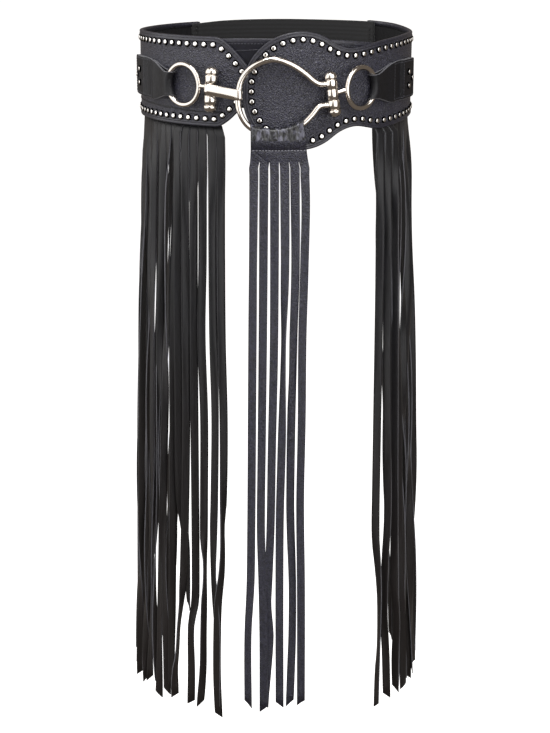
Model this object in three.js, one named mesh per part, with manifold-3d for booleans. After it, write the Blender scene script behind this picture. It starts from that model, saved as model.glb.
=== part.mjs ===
// Fringed leather hip belt in its worn, hollow shape. Millimetres, +Z up, front towards -Y.
// Left and right are the wearer's, so left is +X. Every belt piece is laid out on one ellipse:
// u is the distance along it from the front centre, positive towards +X, and out is the
// distance outside it.
import * as THREE from 'three';
import { mergeVertices } from 'three/addons/utils/BufferGeometryUtils.js';
import Module from 'manifold-3d';

const wasm = await Module();
wasm.setup();

// Driving dimensions
const waist = { a: 149, b: 135.9, steps: 1440 };
const seam = 0.3;
const wall = { thick: 3, half: 46.3, endRight: -354, endLeft: 332 };
const thin = { leather: 1.8, elastic: 2, underlap: 2 };
const lobe = { u: 25.3, z: -8, wide: 58.6, tall: 60.8, firstAngle: 188, raise: 3.3, flatFrom: 10, flatTo: 55 };
const elastic = { overlap: 12, low: -39.5 };
const stud = { radius: 2.75, height: 2.1, inset: 8, pitch: 10.4, sides: 5 };
const oRing = { radius: 21.15, wire: 2.35, stand: 7 };
const bar = {
  radius: 6.5, cap: 6.8, pin: 2, bore: 2.35, hidden: 5.5, shown: 6.2, middle: 5.4, barrel: 5.75,
  neck: 15.4, end: 22.7,
};
const loop = { wire: 3.05, y: -147.6, bowRight: 0.0007, bowLeft: 0.00285 };
const strap = { from: -25.8, to: 33.2, roll: 4.8, thick: 3.4, out: 11.7, low: -72, slits: -80 };
const fringe = {
  width: 8.3, thick: 1.2, backing: 1.4, backingTop: -40, backingLow: -46.8,
  root: -45.8, end: -703, flare: 22, lane: 1.1, steps: 6,
};

// The right panel's pointed tip: half its height at each u
const tipRows = [
  { u: -70, half: 46.3 }, { u: -64, half: 46.2 }, { u: -58, half: 44.6 }, { u: -50, half: 39.3 },
  { u: -41, half: 31 }, { u: -31, half: 19.6 }, { u: -25, half: 12 }, { u: -22, half: 7 },
];
// The right panel's top edge behind the tip
const backRows = [
  { u: -354, top: 43.6 }, { u: -300, top: 43.5 }, { u: -250, top: 44 }, { u: -215, top: 44.8 },
  { u: -180, top: 45.6 }, { u: -150, top: 46 }, { u: -110, top: 46.3 }, { u: -70, top: 46.3 },
];
// The left panel's edges past the round lobe: a waist, then nearly the full height
const lobeRows = [
  { u: 57, top: 43, low: -59 }, { u: 67, top: 37.7, low: -52.3 },
  { u: 78, top: 34.6, low: -48.2 }, { u: 89, top: 34.9, low: -47.1 },
  { u: 101, top: 36.3, low: -49.2 }, { u: 112, top: 38.3, low: -51.4 },
  { u: 125, top: 40, low: -51.6 }, { u: 142, top: 41.3, low: -50.7 },
  { u: 160, top: 42.4, low: -49.3 }, { u: 180, top: 43.2, low: -47.9 },
  { u: 200, top: 43, low: -46.6 }, { u: 215, top: 42.8, low: -46.3 },
  { u: 235, top: 43, low: -46.3 }, { u: 260, top: 44, low: -46.3 },
  { u: 290, top: 45.5, low: -46.3 }, { u: 332, top: 46.3, low: -46.3 },
];
// The elastic's top edge, with u carried on round the back
const elasticRows = [
  { u: 320, top: 45.3 }, { u: 390, top: 44.7 }, { u: 450, top: 44.7 }, { u: 510, top: 43.8 },
  { u: 540, top: 42.1 }, { u: 554, top: 41.6 },
];
// The underlap's top edge, seen through the gap between the panels
const underlapRows = [
  { u: -80, top: 43.5 }, { u: -40, top: 44.8 }, { u: 0, top: 45 }, { u: 57, top: 43 },
  { u: 100, top: 39 }, { u: 120, top: 36.5 },
];
// A ring tab, measured back from its fold: its middle height and half its height
const tabRows = [
  { s: 0, half: 12.4 }, { s: 13, half: 16.2 }, { s: 27, half: 20.6 }, { s: 40, half: 21.2 },
  { s: 60, half: 21 }, { s: 84, half: 20.4 }, { s: 86, half: 18.6 },
];
// The buckle loop's wire in the plane x, z, from its upper knuckle round to its lower one
const loopRoute = [
  [53.5, 0], [46.6, -0.2], [43.4, 0.5], [38.2, 3.6], [31.5, 9.6], [22.5, 16.2], [11.5, 22.1],
  [-1.1, 25.4],
  [-15, 22.6], [-27.5, 14.8], [-35.8, 3.3], [-38.9, -11.5], [-38.6, -22.7], [-35.5, -32.7],
  [-30, -41], [-22, -46.7], [-10, -49.3], [4, -49.1], [17, -46.3], [28.3, -40.2],
  [37.2, -31.6], [43.2, -24], [46.4, -22.2], [55.5, -21.9],
];
// The hook bar in plan, with its middle height, its own height and its thickness
const hookRows = [
  { x: -73.6, y: -139, z: -5.8, tall: 9.6, thick: 3.4 },
  { x: -67.5, y: -139.7, z: -6.6, tall: 10, thick: 3.4 },
  { x: -58, y: -143.2, z: -7.9, tall: 10, thick: 3.4 },
  { x: -49, y: -147.2, z: -9.2, tall: 10, thick: 3 },
  { x: -44, y: -149.3, z: -9.9, tall: 10.2, thick: 2.2 },
  { x: -40.6, y: -150.6, z: -10.3, tall: 10.3, thick: 1.6 },
  { x: -38.4, y: -151, z: -10.5, tall: 10.3, thick: 1.6 },
  { x: -36.2, y: -150.4, z: -10.7, tall: 10.3, thick: 1.6 },
  { x: -34.5, y: -148.8, z: -10.8, tall: 10, thick: 1.6 },
  { x: -33.9, y: -146.6, z: -10.9, tall: 9.2, thick: 1.6 },
  { x: -34.3, y: -144.8, z: -10.9, tall: 8, thick: 1.6 },
];

const leather = new THREE.MeshStandardMaterial({ color: 0x2d2d33, roughness: 0.55 });
const suede = new THREE.MeshStandardMaterial({ color: 0x1e1b1b, roughness: 0.9 });
const webbing = new THREE.MeshStandardMaterial({ color: 0x1c1b1d, roughness: 0.85 });
const nickel = new THREE.MeshStandardMaterial({ color: 0xcbbfae, roughness: 0.2, metalness: 1 });

// Distance along the ellipse at each step of its angle
const arc = [0];
for (let i = 1; i <= waist.steps; i += 1) {
  const phi = (2 * Math.PI * (i - 0.5)) / waist.steps;
  const speed = Math.hypot(waist.a * Math.cos(phi), waist.b * Math.sin(phi));
  arc.push(arc[i - 1] + (speed * 2 * Math.PI) / waist.steps);
}
const round = arc[waist.steps];

function phiAt(u) {
  const distance = Math.abs(u);
  let i = Math.floor((distance / round) * waist.steps);
  while (i > 0 && arc[i] > distance) i -= 1;
  while (i < waist.steps - 1 && arc[i + 1] < distance) i += 1;
  const share = (distance - arc[i]) / (arc[i + 1] - arc[i]);
  return (Math.sign(u) * 2 * Math.PI * (i + share)) / waist.steps;
}

// The outward direction and the place of a point of the belt
function outward(u) {
  const phi = phiAt(u);
  return new THREE.Vector3(waist.b * Math.sin(phi), -waist.a * Math.cos(phi), 0).normalize();
}

function onBelt(u, out, z) {
  const phi = phiAt(u);
  const foot = new THREE.Vector3(waist.a * Math.sin(phi), -waist.b * Math.cos(phi), z);
  return foot.addScaledVector(outward(u), out);
}

// A smooth curve through a table's rows
function smooth(rows, key, name, at) {
  const last = rows.length - 1;
  if (at <= rows[0][key]) return rows[0][name];
  if (at >= rows[last][key]) return rows[last][name];
  let i = 0;
  while (rows[i + 1][key] < at) i += 1;
  const slope = (j) => {
    const before = rows[Math.max(j - 1, 0)];
    const after = rows[Math.min(j + 1, last)];
    return (after[name] - before[name]) / (after[key] - before[key]);
  };
  const step = rows[i + 1][key] - rows[i][key];
  const t = (at - rows[i][key]) / step;
  const rise = rows[i + 1][name] - rows[i][name];
  const start = slope(i) * step;
  const finish = slope(i + 1) * step;
  return rows[i][name] + start * t + (3 * rise - 2 * start - finish) * t ** 2
    + (start + finish - 2 * rise) * t ** 3;
}

function ease(from, to, at) {
  const t = Math.min(Math.max((at - from) / (to - from), 0), 1);
  return t * t * (3 - 2 * t);
}

// An even number from 0 to 1 for item i and use k
function chance(i, k) {
  const value = Math.sin(i * 12.9898 + k * 78.233) * 43758.5453;
  return value - Math.floor(value);
}

// Solids from points
function solid(points, faces) {
  let volume = 0;
  for (const [a, b, c] of faces) {
    volume += points[a].dot(new THREE.Vector3().crossVectors(points[b], points[c]));
  }
  const geometry = new THREE.BufferGeometry().setFromPoints(points);
  geometry.setIndex(faces.flatMap(([a, b, c]) => (volume < 0 ? [a, c, b] : [a, b, c])));
  return geometry;
}

// A wall between two grids of points, columns[i][j], one on each face
function wallBetween(outer, inner) {
  const columns = outer.length;
  const rows = outer[0].length;
  const points = [...outer.flat(), ...inner.flat()];
  const out = (i, j) => i * rows + j;
  const back = (i, j) => columns * rows + i * rows + j;
  const faces = [];
  const quad = (a, b, c, d) => faces.push([a, b, c], [a, c, d]);
  for (let i = 0; i < columns - 1; i += 1) {
    for (let j = 0; j < rows - 1; j += 1) {
      quad(out(i, j), out(i + 1, j), out(i + 1, j + 1), out(i, j + 1));
      quad(back(i, j + 1), back(i + 1, j + 1), back(i + 1, j), back(i, j));
    }
    quad(back(i, 0), back(i + 1, 0), out(i + 1, 0), out(i, 0));
    quad(out(i, rows - 1), out(i + 1, rows - 1), back(i + 1, rows - 1), back(i, rows - 1));
  }
  for (let j = 0; j < rows - 1; j += 1) {
    quad(out(0, j), out(0, j + 1), back(0, j + 1), back(0, j));
    quad(back(columns - 1, j), back(columns - 1, j + 1), out(columns - 1, j + 1),
      out(columns - 1, j));
  }
  return solid(points, faces);
}

// A run of like sections, capped at both ends
function loft(sections, flat) {
  const count = sections[0].length;
  const points = sections.flat();
  const faces = [];
  for (let s = 0; s < sections.length - 1; s += 1) {
    for (let i = 0; i < count; i += 1) {
      const next = (i + 1) % count;
      const a = s * count + i;
      const b = s * count + next;
      faces.push([a, b, b + count], [a, b + count, a + count]);
    }
  }
  const start = THREE.ShapeUtils.triangulateShape(flat, []);
  const shift = (sections.length - 1) * count;
  for (const [a, b, c] of start) {
    faces.push([a, c, b], [a + shift, b + shift, c + shift]);
  }
  return solid(points, faces);
}

// Joining and cutting
function toManifold(geometry) {
  const bare = geometry.clone();
  bare.deleteAttribute('normal');
  bare.deleteAttribute('uv');
  const merged = mergeVertices(bare, 1e-4);
  return new wasm.Manifold(new wasm.Mesh({
    numProp: 3,
    vertProperties: new Float32Array(merged.attributes.position.array),
    triVerts: new Uint32Array(merged.index.array),
  }));
}

function fromManifold(body) {
  const { vertProperties, triVerts } = body.getMesh();
  const geometry = new THREE.BufferGeometry();
  geometry.setAttribute('position', new THREE.BufferAttribute(vertProperties, 3));
  geometry.setIndex(new THREE.BufferAttribute(triVerts, 1));
  geometry.computeVertexNormals();
  return geometry;
}

function join(geometries, cuts = []) {
  let body = toManifold(geometries[0]);
  for (const geometry of geometries.slice(1)) body = body.add(toManifold(geometry));
  for (const geometry of cuts) body = body.subtract(toManifold(geometry));
  return fromManifold(body);
}

// Panel edges
const raise = (u) => lobe.raise * (1 - ease(lobe.flatFrom, lobe.flatTo, u));

function rightEdge(u) {
  if (u < tipRows[0].u) return { top: smooth(backRows, 'u', 'top', u), low: -wall.half };
  const half = smooth(tipRows, 'u', 'half', u);
  return { top: half, low: -half };
}

function leftEdge(u) {
  if (u < lobeRows[0].u) {
    const rise = lobe.tall * Math.sqrt(Math.max(1 - ((u - lobe.u) / lobe.wide) ** 2, 0));
    return { top: lobe.z + rise, low: lobe.z - rise };
  }
  return { top: smooth(lobeRows, 'u', 'top', u), low: smooth(lobeRows, 'u', 'low', u) };
}

function steps(from, to, size) {
  const count = Math.max(1, Math.round(Math.abs(to - from) / size));
  return Array.from({ length: count + 1 }, (_, i) => from + ((to - from) * i) / count);
}

function rightColumns() {
  const tip = tipRows[tipRows.length - 1].u;
  return [...steps(wall.endRight, -70, 10), ...steps(-70, tip, 4).slice(1)];
}

function leftColumns() {
  const lobeEnd = lobeRows[0].u;
  const columns = [];
  for (let angle = lobe.firstAngle; angle < 300; angle += 9) {
    const u = lobe.u + lobe.wide * Math.cos((angle * Math.PI) / 180);
    if (u < lobeEnd - 2) columns.push(u);
  }
  return [...columns, ...steps(lobeEnd, 215, 7), ...steps(215, wall.endLeft, 10).slice(1)];
}

function beltWall(columns, edge, inside, outside) {
  const face = (out) => columns.map((u) => {
    const { top, low } = edge(u);
    return [onBelt(u, out(u), low), onBelt(u, out(u), top)];
  });
  return wallBetween(face(outside), face(inside));
}

// A panel's row of studs: its edge, moved in, and walked along both ways from each anchor.
// A point belongs to the first anchor whose test it passes.
function studRow(columns, edge, anchors) {
  const fine = [];
  for (let i = 0; i < columns.length - 1; i += 1) {
    for (const u of steps(columns[i], columns[i + 1], 1).slice(i ? 1 : 0)) fine.push(u);
  }
  const end = fine[0] < -100 ? fine[fine.length - 1] : fine[0];
  const away = fine.filter((u) => u !== end);
  const order = end === fine[0] ? away.reverse() : away;
  const outline = [
    ...order.map((u) => [u, edge(u).top]), [end, edge(end).top], [end, edge(end).low],
    ...order.slice().reverse().map((u) => [u, edge(u).low]),
  ];
  const turn = end === fine[0] ? 1 : -1;
  const inset = [];
  for (let i = 1; i < outline.length - 1; i += 1) {
    const du = outline[i + 1][0] - outline[i - 1][0];
    const dz = outline[i + 1][1] - outline[i - 1][1];
    const length = Math.hypot(du, dz);
    const at = [
      outline[i][0] - (turn * dz * stud.inset) / length,
      outline[i][1] + (turn * du * stud.inset) / length,
    ];
    const clear = outline.every(([u, z]) => Math.hypot(u - at[0], z - at[1]) > stud.inset - 0.05);
    if (clear) inset.push(at);
  }
  const walk = [0];
  for (let i = 1; i < inset.length; i += 1) {
    const [[u0, z0], [u1, z1]] = [inset[i - 1], inset[i]];
    walk.push(walk[i - 1] + Math.hypot(u1 - u0, z1 - z0));
  }
  return anchors.flatMap(({ u, z, owns }) => {
    const gaps = inset.map((at) => Math.hypot(at[0] - u, at[1] - z));
    const start = walk[gaps.indexOf(Math.min(...gaps))];
    const places = [];
    const first = Math.ceil(-start / stud.pitch);
    for (let k = first; start + k * stud.pitch <= walk[walk.length - 1]; k += 1) {
      const distance = start + k * stud.pitch;
      const i = Math.max(walk.findIndex((length) => length >= distance), 1);
      const share = (distance - walk[i - 1]) / (walk[i] - walk[i - 1]);
      places.push([0, 1].map((n) => inset[i - 1][n] + (inset[i][n] - inset[i - 1][n]) * share));
    }
    return places.filter(owns);
  });
}

// A small dome standing on a face
function dome(u, out, z) {
  const axis = outward(u);
  const side = new THREE.Vector3(-axis.y, axis.x, 0);
  const up = new THREE.Vector3(0, 0, 1);
  const rings = [[stud.radius, -0.5], [stud.radius * 0.72, stud.height * 0.72]];
  const points = [];
  for (const [radius, height] of rings) {
    for (let i = 0; i < stud.sides; i += 1) {
      const angle = (2 * Math.PI * i) / stud.sides;
      points.push(onBelt(u, out + height, z)
        .addScaledVector(side, radius * Math.cos(angle))
        .addScaledVector(up, radius * Math.sin(angle)));
    }
  }
  points.push(onBelt(u, out + stud.height, z));
  const faces = [];
  for (let i = 0; i < stud.sides; i += 1) {
    const next = (i + 1) % stud.sides;
    faces.push([i, next, next + stud.sides], [i, next + stud.sides, i + stud.sides]);
    faces.push([i + stud.sides, next + stud.sides, 2 * stud.sides]);
  }
  for (let i = 1; i < stud.sides - 1; i += 1) faces.push([0, i + 1, i]);
  return solid(points, faces);
}

// A panel with its studs
function panel(columns, edge, lift, anchors) {
  const half = wall.thick / 2;
  const body = beltWall(columns, edge, (u) => lift(u) - half, (u) => lift(u) + half);
  const places = studRow(columns, edge, anchors);
  return join([body, ...places.map(([u, z]) => dome(u, lift(u) + half, z))]);
}

// The right panel has no studs under the lobe
function clearOfLobe([u, z]) {
  const room = stud.radius + seam;
  return Math.hypot((u - lobe.u) / (lobe.wide + room), (z - lobe.z) / (lobe.tall + room)) > 1;
}
const rightAnchors = [
  { u: -49.3, z: 26.7, owns: (at) => at[1] > 0 && clearOfLobe(at) },
  { u: -49.2, z: -25.9, owns: (at) => at[1] <= 0 && clearOfLobe(at) },
];
const leftAnchors = [{ u: -25.3, z: -8.7, owns: () => true }];

// A tab of leather: from its far end along the panel, round the ring's wire and back under itself
function ringTab(ring) {
  const { side, foldU, z } = ring;
  const rows = 5;
  const face = wall.thick / 2;
  const half = thin.leather / 2;
  const low = face + seam + half;
  const over = low + thin.leather + seam;
  const columns = [];
  const add = (s, place) => {
    const tall = smooth(tabRows, 's', 'half', s);
    const outer = [];
    const inner = [];
    for (let j = 0; j < rows; j += 1) {
      const height = z + ring.drop(s) + tall * ((2 * j) / (rows - 1) - 1);
      const { at, away } = place(height);
      outer.push(at.clone().addScaledVector(away, half));
      inner.push(at.clone().addScaledVector(away, -half));
    }
    columns.push({ outer, inner });
  };
  const along = (s, out) => add(s, (height) => {
    const u = foldU + side * s;
    return { at: onBelt(u, out, height), away: outward(u) };
  });
  for (const s of [86, 84, 72, 60, 48, 38]) along(s, low);
  for (const s of [30, 22]) along(s, over);
  along(13, over + 1.6);
  // The wire leans where the fold meets it above and below, so the fold is wider there
  for (let k = 0; k <= 6; k += 1) {
    const angle = (Math.PI * k) / 6;
    add(0, (height) => {
      const gap = Math.min(Math.abs(height - ring.centre.z), oRing.radius - 1);
      const reach = Math.sqrt(oRing.radius ** 2 - gap ** 2);
      const wire = ring.centre.clone().addScaledVector(ring.across, -reach);
      const away = outward(foldU).multiplyScalar(Math.cos(angle))
        .addScaledVector(ring.across, Math.sin(angle));
      wire.z = height;
      const deep = oRing.wire + seam + half;
      const wide = (oRing.wire * oRing.radius) / reach + 1.5 * seam + half;
      wire.addScaledVector(outward(foldU), deep * Math.cos(angle));
      return { at: wire.addScaledVector(ring.across, wide * Math.sin(angle)), away };
    });
  }
  const back = (s, out) => add(s, (height) => {
    const u = foldU + side * s;
    return { at: onBelt(u, out, height), away: outward(u).negate() };
  });
  for (const s of [10, 20, 30]) back(s, low);
  const geometry = wallBetween(columns.map((c) => c.outer), columns.map((c) => c.inner));
  const studs = [[64, 7], [76, 0], [64, -7.5]].map(([s, rise]) => (
    dome(foldU + side * s, low + half, z + ring.drop(s) + rise)));
  return join([geometry, ...studs]);
}

// A ring lies in the plane of across and +Z, its far side inside the tab's fold
function ringAt(side, foldU, z, degrees) {
  const angle = (degrees * Math.PI) / 180;
  const across = new THREE.Vector3(-side * Math.cos(angle), -Math.sin(angle), 0);
  const centre = onBelt(foldU, oRing.stand, z).addScaledVector(across, oRing.radius);
  return { side, foldU, z, across, centre, drop: (s) => 2.4 * ease(0, 60, s) };
}

function placed(geometry, matrix) {
  return geometry.clone().applyMatrix4(matrix);
}

function torus(ring) {
  const away = new THREE.Vector3().crossVectors(ring.across, new THREE.Vector3(0, 0, 1));
  const basis = new THREE.Matrix4().makeBasis(ring.across, new THREE.Vector3(0, 0, 1), away);
  return placed(new THREE.TorusGeometry(oRing.radius, oRing.wire, 8, 28),
    basis.setPosition(ring.centre));
}

function rod(from, to, radius, sides = 10) {
  const length = from.distanceTo(to);
  const turn = new THREE.Quaternion().setFromUnitVectors(new THREE.Vector3(0, 1, 0),
    to.clone().sub(from).normalize());
  const middle = from.clone().add(to).multiplyScalar(0.5);
  const matrix = new THREE.Matrix4().compose(middle, turn, new THREE.Vector3(1, 1, 1));
  return placed(new THREE.CylinderGeometry(radius, radius, length, sides), matrix);
}

// A pivot bar stands in its own frame, its axis along local Y
function barFrame(x, y, z, lean) {
  const tilt = (lean * Math.PI) / 180;
  const axis = new THREE.Vector3(Math.sin(tilt), 0, Math.cos(tilt));
  const right = new THREE.Vector3(Math.cos(tilt), 0, -Math.sin(tilt));
  const away = new THREE.Vector3().crossVectors(right, axis);
  return new THREE.Matrix4().makeBasis(right, axis, away).setPosition(x, y, z);
}

function turned(profile, sides = 14) {
  return new THREE.LatheGeometry(profile.map(([r, h]) => new THREE.Vector2(r, h)), sides);
}

function barrel(way) {
  const rows = [
    [0, bar.barrel], [bar.radius, bar.barrel], [bar.radius, bar.neck], [bar.radius * 0.8, bar.neck],
    [bar.radius * 0.8, bar.neck + 0.7], [bar.cap, bar.neck + 0.7],
    [bar.cap * 0.93, bar.neck + 3.6], [bar.cap * 0.68, bar.end - 1.2], [0, bar.end],
  ];
  const profile = rows.map(([r, h]) => [r, h * way]);
  return turned(way > 0 ? profile : profile.reverse());
}

function sleeve(radius, low, high) {
  return turned([
    [bar.bore, low], [radius, low], [radius, high], [bar.bore, high], [bar.bore, low],
  ]);
}

function pinRod() {
  return new THREE.CylinderGeometry(bar.pin, bar.pin, 2 * bar.barrel + 2, 12);
}

// The rings and the two pivot bars
const rightRing = ringAt(-1, -119.8, -4, 37.5);
const leftRing = ringAt(1, 107.5, -6.1, 43.6);
const rightBar = barFrame(-67.7, -131.5, -6.9, 3.4);
const leftBar = barFrame(58.1, -138, -10.7, -7.5);

function ringWithSleeve(ring, frame, radius, low, high) {
  const near = ring.centre.clone().addScaledVector(ring.across, oRing.radius);
  const middle = new THREE.Vector3(0, (low + high) / 2, 0).applyMatrix4(frame);
  const reach = middle.clone().sub(near);
  const stop = near.clone().addScaledVector(reach, 1 - 3.6 / reach.length());
  return join([torus(ring), rod(near, stop, 2.3), placed(sleeve(radius, low, high), frame)]);
}

// The buckle loop: bent wire with a knuckle and a cap at each end, joined by the pin
const bowedY = (x) => loop.y + (x < 0 ? loop.bowRight : loop.bowLeft) * x * x;

function loopCurve(route) {
  return new THREE.CatmullRomCurve3(route.map(([x, z]) => new THREE.Vector3(x, bowedY(x), z)),
    false, 'centripetal');
}

function tube(curve, radius, segments, sides) {
  const sections = [];
  for (let i = 0; i <= segments; i += 1) {
    const at = curve.getPointAt(i / segments);
    const along = curve.getTangentAt(i / segments);
    const up = new THREE.Vector3(0, -1, 0);
    const side = new THREE.Vector3().crossVectors(along, up).normalize();
    up.crossVectors(side, along).normalize();
    sections.push(Array.from({ length: sides }, (_, k) => {
      const angle = (2 * Math.PI * k) / sides;
      return at.clone().addScaledVector(side, radius * Math.cos(angle))
        .addScaledVector(up, radius * Math.sin(angle));
    }));
  }
  const flat = Array.from({ length: sides }, (_, k) => new THREE.Vector2(
    Math.cos((2 * Math.PI * k) / sides), Math.sin((2 * Math.PI * k) / sides)));
  return loft(sections, flat);
}

function buckleLoop() {
  const wire = tube(loopCurve(loopRoute), loop.wire, 44, 8);
  const parts = [barrel(1), barrel(-1), pinRod()].map((piece) => placed(piece, leftBar));
  return join([wire, ...parts]);
}

function toggleBar() {
  return join([barrel(1), barrel(-1), pinRod()].map((piece) => placed(piece, rightBar)));
}

// The hook bar: half-round, in front of the toggle's barrels, its end turned in round the loop
function hookBar() {
  const flat = [];
  const shape = [[-1, 0.5], [-1, -0.1], [-0.62, -0.42], [0, -0.5], [0.62, -0.42], [1, -0.1],
    [1, 0.5]];
  for (const [up, deep] of shape) flat.push(new THREE.Vector2(up, deep));
  const sections = hookRows.map((row, i) => {
    const before = hookRows[Math.max(i - 1, 0)];
    const after = hookRows[Math.min(i + 1, hookRows.length - 1)];
    const along = new THREE.Vector3(after.x - before.x, after.y - before.y, 0).normalize();
    const inward = new THREE.Vector3(-along.y, along.x, 0);
    return shape.map(([up, deep]) => new THREE.Vector3(row.x, row.y, row.z + (up * row.tall) / 2)
      .addScaledVector(inward, deep * row.thick));
  });
  const web = new THREE.BoxGeometry(5.6, 4.6, 5).translate(0, -2.75, 5.6);
  return join([loft(sections, flat), placed(web, rightBar), placed(sleeve(bar.hidden, -5.4, -0.2), rightBar)]);
}

// The centre strap's fold over the loop's lower wire, sewn to itself below it
function strapFold() {
  const sections = [];
  const contour = (wireZ) => {
    const points = [];
    for (let k = 0; k <= 6; k += 1) {
      const angle = (Math.PI * k) / 6;
      points.push([strap.roll * Math.cos(angle), wireZ + strap.roll * Math.sin(angle)]);
    }
    const half = strap.thick / 2;
    return [...points, [-strap.roll * 0.9, wireZ - 3], [-half, wireZ - 9], [-half, strap.low],
      [half, strap.low], [half, wireZ - 8], [strap.roll * 0.8, wireZ - 3]];
  };
  const wireRows = loopRoute.slice(13, 23).map(([x, z]) => ({ x, z }));
  for (const x of steps(strap.from, strap.to, 4.2)) {
    const wireZ = smooth(wireRows, 'x', 'z', x);
    sections.push(contour(wireZ).map(([y, z]) => new THREE.Vector3(x, bowedY(x) + y, z)));
  }
  const flat = contour(-48).map(([y, z]) => new THREE.Vector2(y, z));
  const tunnel = tube(loopCurve(loopRoute.slice(11, 23)), loop.wire + 1.5 * seam, 22, 8);
  return join([loft(sections, flat)], [tunnel]);
}

// One strip of fringe, four-sided, hanging from its root
function strip(i, u, out, root, end, flare) {
  const sections = [];
  const spread = flare * (0.6 + 0.4 * Math.abs(Math.sin(phiAt(u))));
  const finish = end + 12 * (chance(i, 1) - 0.5);
  for (let k = 0; k <= fringe.steps; k += 1) {
    const t = k / fringe.steps;
    const lane = (i % 2 ? 1 : -1) * fringe.lane * Math.min(1, t * fringe.steps);
    const at = u + t * (1.5 * Math.sin(6 * t + 0.02 * u) + 1.1 * (chance(i, 2) - 0.5));
    const place = out + spread * t ** 0.9 + lane + 1.6 * t * Math.sin(7 * t + 0.012 * u);
    const twist = (t * (chance(i, 3) - 0.5) * 9 * Math.PI) / 180;
    const away = outward(at);
    const side = new THREE.Vector3(-away.y, away.x, 0);
    const wide = side.clone().multiplyScalar(Math.cos(twist)).addScaledVector(away,
      Math.sin(twist));
    const deep = away.clone().multiplyScalar(Math.cos(twist)).addScaledVector(side,
      -Math.sin(twist));
    const centre = onBelt(at, place, root + (finish - root) * t);
    sections.push([[-1, -1], [1, -1], [1, 1], [-1, 1]].map(([w, d]) => centre.clone()
      .addScaledVector(wide, (w * fringe.width) / 2)
      .addScaledVector(deep, (d * fringe.thick) / 2)));
  }
  return loft(sections, [[-1, -1], [1, -1], [1, 1], [-1, 1]].map(([x, y]) => (
    new THREE.Vector2(x, y))));
}

// Strips evenly along a backing strip
function fringeGroup(from, to, count, out, low, high, end, flare, seed) {
  const half = fringe.backing / 2;
  const backing = beltWall(steps(from, to, 9.6), () => ({ top: high, low }),
    () => out - half, () => out + half);
  const pitch = (to - from) / count;
  const strips = Array.from({ length: count }, (_, i) => strip(i + seed,
    from + pitch * (i + 0.5), out, low + 1, end, flare));
  return join([backing, ...strips]);
}

const belt = new THREE.Group();
function addPiece(name, geometry, material) {
  const mesh = new THREE.Mesh(geometry, material);
  mesh.name = name;
  belt.add(mesh);
}

const insideFace = -wall.thick / 2 - seam;
const hem = insideFace - fringe.backing / 2;
addPiece('panel_right', panel(rightColumns(), rightEdge, () => 0, rightAnchors), leather);
addPiece('panel_left', panel(leftColumns(), leftEdge, raise, leftAnchors), leather);
addPiece('underlap', beltWall(steps(-80, 120, 8), (u) => (
  { top: smooth(underlapRows, 'u', 'top', u), low: -26 }),
() => insideFace - thin.underlap, () => insideFace), leather);
addPiece('back_elastic', beltWall(
  steps(wall.endLeft - elastic.overlap, round + wall.endRight + elastic.overlap, 9),
  (u) => ({ top: smooth(elasticRows, 'u', 'top', u), low: elastic.low }),
  () => insideFace - thin.elastic, () => insideFace), webbing);
addPiece('tab_right', ringTab(rightRing), leather);
addPiece('tab_left', ringTab(leftRing), leather);
addPiece('ring_right', ringWithSleeve(rightRing, rightBar, bar.hidden,
  0.2, bar.middle), nickel);
addPiece('ring_left', ringWithSleeve(leftRing, leftBar, bar.shown,
  -bar.middle, bar.middle), nickel);
addPiece('toggle_bar', toggleBar(), nickel);
addPiece('hook_bar', hookBar(), nickel);
addPiece('buckle_loop', buckleLoop(), nickel);
addPiece('strap_fold', strapFold(), leather);
addPiece('fringe_centre', fringeGroup(-27.2, 33.6, 6, strap.out, strap.slits,
  strap.low - seam, -694, 10, 200), suede);
addPiece('fringe_right', fringeGroup(wall.endRight, -59, 31, hem, fringe.backingLow,
  fringe.backingTop, fringe.end, fringe.flare, 0), suede);
addPiece('fringe_left', fringeGroup(113, 322, 22, hem, fringe.backingLow,
  fringe.backingTop, fringe.end, fringe.flare, 100), suede);

export default belt;
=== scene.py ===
# Fringed leather hip belt in its worn, hollow shape, with its hooked loop buckle.
# Sizes are millimetres until a mesh is made, which is in metres. +Z up, front towards -Y.
# Left and right are the wearer's. u is the distance along the belt's oval from the front
# centre, positive towards +X, and out is the distance outside the oval.
import bisect
import math

import bmesh
import bpy
from mathutils import Matrix, Vector, noise


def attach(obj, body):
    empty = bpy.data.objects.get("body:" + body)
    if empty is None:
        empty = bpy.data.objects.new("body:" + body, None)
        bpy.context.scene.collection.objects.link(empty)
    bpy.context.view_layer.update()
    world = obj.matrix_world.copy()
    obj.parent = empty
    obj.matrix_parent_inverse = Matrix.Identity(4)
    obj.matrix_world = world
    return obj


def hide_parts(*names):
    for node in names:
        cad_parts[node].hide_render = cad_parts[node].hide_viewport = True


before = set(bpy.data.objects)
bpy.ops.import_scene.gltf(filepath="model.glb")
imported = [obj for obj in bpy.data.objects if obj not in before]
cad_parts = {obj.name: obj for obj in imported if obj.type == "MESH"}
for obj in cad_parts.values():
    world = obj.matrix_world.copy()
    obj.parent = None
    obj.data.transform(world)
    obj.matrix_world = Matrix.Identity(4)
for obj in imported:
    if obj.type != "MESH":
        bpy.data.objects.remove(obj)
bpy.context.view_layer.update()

MM = 0.001
UP = Vector((0, 0, 1))

# Camera at the photograph's angle: 2 m in front, looking down on the belt
CAMERA_PLACE = Vector((-1.1, -1999, 209.4)) * MM
CAMERA_PITCH = 15.36
FRAME_HEIGHT_PX = 733
FOCAL_PX = 1798
SENSOR_MM = 36

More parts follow.
